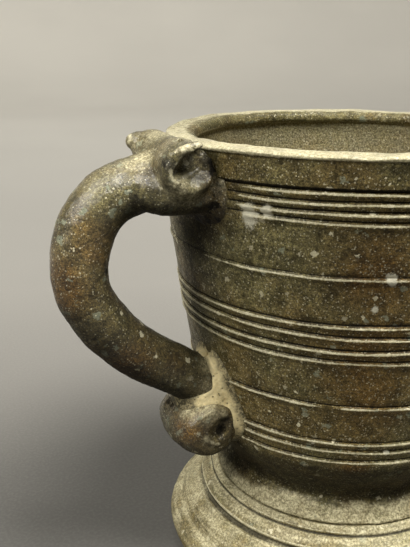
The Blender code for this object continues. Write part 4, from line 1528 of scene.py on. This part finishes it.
    # The wax follows the same grain, but more softly
    fine = bench.times(bench.noise(spot, 1500.0, 4.0, 0.7), 0.55)
    broad = bench.times(bench.noise(spot, 330.0, 3.0, 0.6), 0.6)
    grain = bench.band(bench.noise(spot, 1500.0, 4.0, 0.75), 0.36, 0.66)
    wax_height = bench.plus(bench.plus(fine, broad), bench.times(grain, 0.35))
    bench.feed(shader.inputs["Coat Normal"], bench.bump(wax_height, tones["bump"] * 0.35, 0.0004))
    return material


# Strengths of the effects on each casting
BOWL_TONES = {
    "fineness": 1500.0, "lean": 0.0, "specks": 0.34, "cream": 0.035, "green": 0.05, "pits": 0.5,
    "rub": 0.62, "warm": 0.36, "marks": 0.35, "grain": 0.74, "settle": 0.0, "dust": 1.0,
    "metallic": 0.60, "smooth": 0.36, "bump": 0.75, "wax": 0.22, "shade": 0.78, "gloss": 0.2,
}
HANDLE_TONES = {
    "fineness": 1300.0, "lean": 0.0, "specks": 0.22, "cream": 0.03, "green": 0.16, "pits": 0.5,
    "rub": 0.42, "warm": 0.45, "marks": 0.0, "grain": 0.70, "settle": 0.0, "dust": 1.0,
    "metallic": 0.60, "smooth": 0.30, "bump": 0.75, "wax": 1.0, "shade": 0.62, "gloss": 0.3,
}
FOOT_TONES = {
    "fineness": 700.0, "lean": -1.0, "specks": 0.25, "cream": 0.06, "green": 0.05, "pits": 0.35,
    "rub": 0.62, "warm": 0.3, "marks": 0.15, "grain": 0.6, "settle": 0.15, "dust": 0.95,
    "metallic": 0.35, "smooth": 0.48, "bump": 0.45, "wax": 0.10, "shade": 1.0, "gloss": 0.4,
}


def filler(name, look, metallic, tone):
    """Tan filler: chalky, with dirt in its pores. A low tone makes it dark."""
    material, bench, shader = new_material(name)
    spot = bench.object_place()
    scales = {"Patch_Scale": 160.0, "Blotch_Scale": 420.0, "Grain_Scale": 1600.0}
    mottle = use_effect(bench, "casting_mottle", Place=spot, **scales)
    pits = use_effect(bench, "skin_pitting", Place=spot, Scale=1300.0, Pits=0.6, Dents=0.5)
    dark = bench.toned(look["filler"], (0.50, 0.46, 0.38))
    colour = bench.blend(bench.times(mottle["Patches"], 0.20), look["filler"], dark)
    colour = bench.blend(bench.times(mottle["Blotches"], 0.18), colour, look["olive"])
    grainy = bench.toned(colour, (0.82, 0.78, 0.68))
    colour = bench.blend(bench.times(mottle["Grain"], 0.5), grainy, colour)
    colour = bench.toned(colour, (tone, tone, tone * 0.95))
    colour = bench.blend(bench.times(pits["Pit Mask"], 0.7), colour, look["black"])
    broken = bench.plus(bench.times(mottle["Blotches"], 0.5), bench.times(mottle["Grain"], 0.4))
    grimy_and_shaded = bench.times(bench.point_value("grime"), bench.plus(broken, 0.55), clamp=True)
    colour = bench.blend(grimy_and_shaded, colour, bench.toned(look["olive"], (0.35, 0.33, 0.28)))
    bench.feed(shader.inputs["Base Color"], colour)
    shader.inputs["Metallic"].default_value = metallic
    bench.feed(shader.inputs["Roughness"], bench.fade(mottle["Blotches"], 0.85, 0.62))
    bench.feed(shader.inputs["Normal"], bench.bump(pits["Height"], 0.8, 0.0007))
    return material


# Painted shadow on the floor: its tone by the distance in metres from the shaded place beside the piece,
# darkest there and lighter far off
FLOOR_PAINTED_SHADE = (
    (0.0, 0.13),
    (0.16, 0.125),
    (0.20, 0.125),
    (0.27, 0.19),
    (0.42, 0.29),
    (0.75, 0.37),
    (1.5, 0.58),
    (2.4, 0.80),
)
FLOOR_SHADE_PLACE = (-0.12, -0.12, 0.0)
FLOOR_SHADE_REACH = 2.5


def floor_paint(name, colour):
    """Plain pale paint with a soft painted shadow round the place where the piece stands, growing lighter
    far off.
    """
    material, bench, shader = new_material(name)
    spot = bench.object_place()
    away = bench.vector("LENGTH", bench.vector("SUBTRACT", spot, FLOOR_SHADE_PLACE))
    ramp = bench.add("ShaderNodeValToRGB", {"Fac": bench.maths("DIVIDE", away, FLOOR_SHADE_REACH)})
    stops = ramp.color_ramp.elements
    while len(stops) < len(FLOOR_PAINTED_SHADE):
        stops.new(0.5)
    for stop, (distance, tone) in zip(stops, FLOOR_PAINTED_SHADE):
        stop.position = distance / FLOOR_SHADE_REACH
        stop.color = (tone, tone, tone, 1.0)
    cloud = bench.noise(spot, 3.0, 3.0, 0.5)
    speck = bench.noise(spot, 900.0, 2.0, 0.5)
    toned = bench.toned(ramp.outputs["Color"], colour)
    shade = bench.toned(toned, (0.95, 0.95, 0.95))
    tone = bench.blend(bench.band(cloud, 0.3, 0.7), toned, shade)
    tone = bench.blend(bench.band(speck, 0.35, 0.75, 0.03), tone, colour)
    bench.feed(shader.inputs["Base Color"], tone)
    shader.inputs["Roughness"].default_value = 0.8
    bench.feed(shader.inputs["Normal"], bench.bump(speck, 0.05, 0.0004))
    return material


def colours(context):
    """The finish's colours by name, as plain tuples."""
    look = context.scene.mortar_finish
    return {name: tuple(getattr(look, name)) for name in MortarFinish.__annotations__}


def finish_piece(mesh, name, material, slot, *nodes):
    """Puts the piece in the scene on the body, in place of its CAD nodes."""
    mesh.materials.clear()
    mesh.materials.append(material)
    item = place(mesh, name)
    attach(item, BODY)
    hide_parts(*nodes)
    return item


class MORTAR_OT_bowl(bpy.types.Operator):
    """Turn the bowl with its raised lines, rim and neck"""

    bl_idname = "mortar.bowl"
    bl_label = "Turn the bowl"

    def execute(self, context):
        mesh = bowl_mesh(context.scene.mortar_bowl)
        material = bronze("bowl_skin", colours(context), BOWL_TONES)
        finish_piece(mesh, "bowl_casting", material, "bowl_bronze", "vessel")
        return {"FINISHED"}


class MORTAR_OT_foot(bpy.types.Operator):
    """Turn the spreading foot with its groove and flange"""

    bl_idname = "mortar.foot"
    bl_label = "Turn the foot"

    def execute(self, context):
        mesh = foot_mesh(context.scene.mortar_foot, context.scene.mortar_bowl)
        material = bronze("foot_skin", colours(context), FOOT_TONES)
        finish_piece(mesh, "foot_casting", material, "foot_bronze", "foot")
        return {"FINISHED"}


class MORTAR_OT_handle(bpy.types.Operator):
    """Sculpt the handle with its scroll, and the roll below it"""

    bl_idname = "mortar.handle"
    bl_label = "Sculpt the handle"

    def execute(self, context):
        scene = context.scene
        material = bronze("handle_skin", colours(context), HANDLE_TONES)
        bar = handle_mesh(scene.mortar_handle, scene.mortar_bowl)
        finish_piece(bar, "handle_bar", material, "handle_bronze", "handle")
        roll = roll_mesh(scene.mortar_handle)
        finish_piece(roll, "handle_roll", material, "handle_bronze", "lower_scroll")
        return {"FINISHED"}


class MORTAR_OT_filler(bpy.types.Operator):
    """Press filler round both roots of the handle and set the wedge"""

    bl_idname = "mortar.filler"
    bl_label = "Fill the roots"

    def execute(self, context):
        scene = context.scene
        look = colours(context)
        material = filler("root_filler", look, 0.05, 1.0)
        upper = upper_filler_mesh(scene.mortar_handle, scene.mortar_bowl)
        upper_material = bronze("upper_root_skin", look, HANDLE_TONES)
        finish_piece(upper, "upper_filler_lump", upper_material, "filler", "upper_filler")
        lower = lower_filler_mesh(scene.mortar_handle, scene.mortar_bowl)
        finish_piece(lower, "lower_filler_lump", material, "filler", "lower_filler")
        nib = filler("wedge_finish", look, 0.15, 0.9)
        finish_piece(wedge_mesh(), "wedge_nib", nib, "wedge_metal", "wedge")
        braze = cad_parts["foot_braze"]
        braze.data.materials.clear()
        braze.data.materials.append(material)
        return {"FINISHED"}


FLAT_REACH = 1.6
COVE_RADIUS = 1.0
COVE_STEPS = 16
LAMP_COLOUR = (1.0, 0.98, 0.95)
LAMP_AIM = Vector((0.0, 0.0, 0.06))
BACKDROP_LAMP = Vector((0.20, 1.00, 1.35))
BACKDROP_AIM = Vector((0.40, 2.05, 0.05))
BACKDROP_LAMP_SIZE = 0.8
ROOM_BRIGHT_SIDE = (0.24, 0.44, 0.86)
ROOM_DARK = (0.34, 0.33, 0.31)
ROOM_BRIGHT = (1.0, 0.97, 0.91)
CAMERA_PLACE = (-0.14650, -0.17460, 0.15879)
CAMERA_TURN = (72.4712, -0.2902, -28.6539)


def floor_mesh():
    """Profile of the floor, flat and then rising in a cove, to be swept round."""
    profile = [(0.0, 0.0, 0.0), (0.8, 0.0, 0.0), (FLAT_REACH, 0.0, 0.0)]
    for step in range(1, COVE_STEPS + 1):
        angle = math.pi / 2.0 * step / COVE_STEPS
        rise = COVE_RADIUS * (1.0 - math.cos(angle))
        profile.append((FLAT_REACH + COVE_RADIUS * math.sin(angle), 0.0, rise))
    line = bpy.data.meshes.new("pale_floor")
    line.from_pydata(profile, [(start, start + 1) for start in range(len(profile) - 1)], [])
    return line


def soft_light(name, spot, aim, size, watts):
    data = bpy.data.lights.new(name, "AREA")
    data.shape = "DISK"
    data.size = size
    data.energy = watts
    data.color = LAMP_COLOUR
    lamp = place(data, name)
    lamp.location = spot
    lamp.rotation_euler = (aim - spot).to_track_quat("-Z", "Y").to_euler()


def lamp_place(side, rise, distance):
    """A place round the piece by the side it lies on and its rise, in degrees."""
    turn = math.radians(side)
    lift = math.radians(rise)
    way = Vector((math.cos(turn) * math.cos(lift), math.sin(turn) * math.cos(lift), math.sin(lift)))
    return LAMP_AIM + way * distance


class MORTAR_OT_stage(bpy.types.Operator):
    """Lay the pale floor and set the soft lights and the camera"""

    bl_idname = "mortar.stage"
    bl_label = "Set the stage"

    def execute(self, context):
        scene = context.scene
        look = scene.mortar_stage
        line = floor_mesh()
        floor = place(line, "pale_floor")
        sweep = floor.modifiers.new("sweep", "SCREW")
        sweep.steps = sweep.render_steps = 96
        sweep.use_merge_vertices = True
        sweep.merge_threshold = 0.0001
        sweep.use_smooth_shade = True
        line.materials.append(floor_paint("floor_paint", tuple(look.floor_colour)))

        key_spot = lamp_place(look.key_bearing, look.key_rise, look.light_distance)
        side_spot = lamp_place(look.side_bearing, look.side_rise, look.light_distance)
        soft_light("key_light", key_spot, LAMP_AIM, look.key_size, look.key_power)
        soft_light("side_light", side_spot, LAMP_AIM, look.side_size, look.side_power)
        soft_light("backdrop_light", BACKDROP_LAMP, BACKDROP_AIM, BACKDROP_LAMP_SIZE, look.back_power)

        world = bpy.data.worlds.new("studio")
        world.use_nodes = True
        bench = NodeBench(world.node_tree)
        back = world.node_tree.nodes["Background"]
        heading = bench.add("ShaderNodeTexCoord").outputs["Generated"]
        sides = {0: heading, 1: ROOM_BRIGHT_SIDE}
        toward = bench.add("ShaderNodeVectorMath", sides, operation="DOT_PRODUCT")
        level = bench.band(toward.outputs["Value"], -0.7, 1.0)
        bench.feed(back.inputs["Color"], bench.blend(level, ROOM_DARK, ROOM_BRIGHT))
        back.inputs["Strength"].default_value = look.room_light
        scene.world = world
        scene.view_settings.view_transform = "Standard"

        data = bpy.data.cameras.new("camera")
        data.lens = look.focal_length
        data.sensor_width = 36.0
        data.clip_start = 0.01
        data.clip_end = 20.0
        camera = place(data, "camera")
        camera.location = CAMERA_PLACE
        camera.rotation_euler = [math.radians(angle) for angle in CAMERA_TURN]
        scene.camera = camera
        return {"FINISHED"}


STEPS = (MORTAR_OT_stage, MORTAR_OT_bowl, MORTAR_OT_foot, MORTAR_OT_handle, MORTAR_OT_filler)


class MORTAR_PT_sidebar(bpy.types.Panel):
    """Lists the steps that make the mortar and the sizes they read"""

    bl_idname = "MORTAR_PT_sidebar"
    bl_label = "Bronze mortar"
    bl_space_type = "VIEW_3D"
    bl_region_type = "UI"
    bl_category = "Mortar"

    def draw(self, context):
        for step in STEPS:
            self.layout.operator(step.bl_idname)
        for label, settings in SETTINGS.items():
            box = self.layout.box()
            group = getattr(context.scene, label)
            for name in settings.__annotations__:
                box.prop(group, name)


SETTINGS = {
    "mortar_bowl": MortarBowlSizes,
    "mortar_foot": MortarFootSizes,
    "mortar_handle": MortarHandleSizes,
    "mortar_finish": MortarFinish,
    "mortar_stage": MortarStageLook,
}


def register():
    for kind in (*SETTINGS.values(), *STEPS, MORTAR_PT_sidebar):
        bpy.utils.register_class(kind)
    for label, kind in SETTINGS.items():
        setattr(bpy.types.Scene, label, PointerProperty(type=kind))


def unregister():
    for label in SETTINGS:
        delattr(bpy.types.Scene, label)
    for kind in reversed((*SETTINGS.values(), *STEPS, MORTAR_PT_sidebar)):
        bpy.utils.unregister_class(kind)


def main():
    register()
    bpy.ops.mortar.stage()
    bpy.ops.mortar.bowl()
    bpy.ops.mortar.foot()
    bpy.ops.mortar.handle()
    bpy.ops.mortar.filler()


if __name__ == "__main__":
    main()
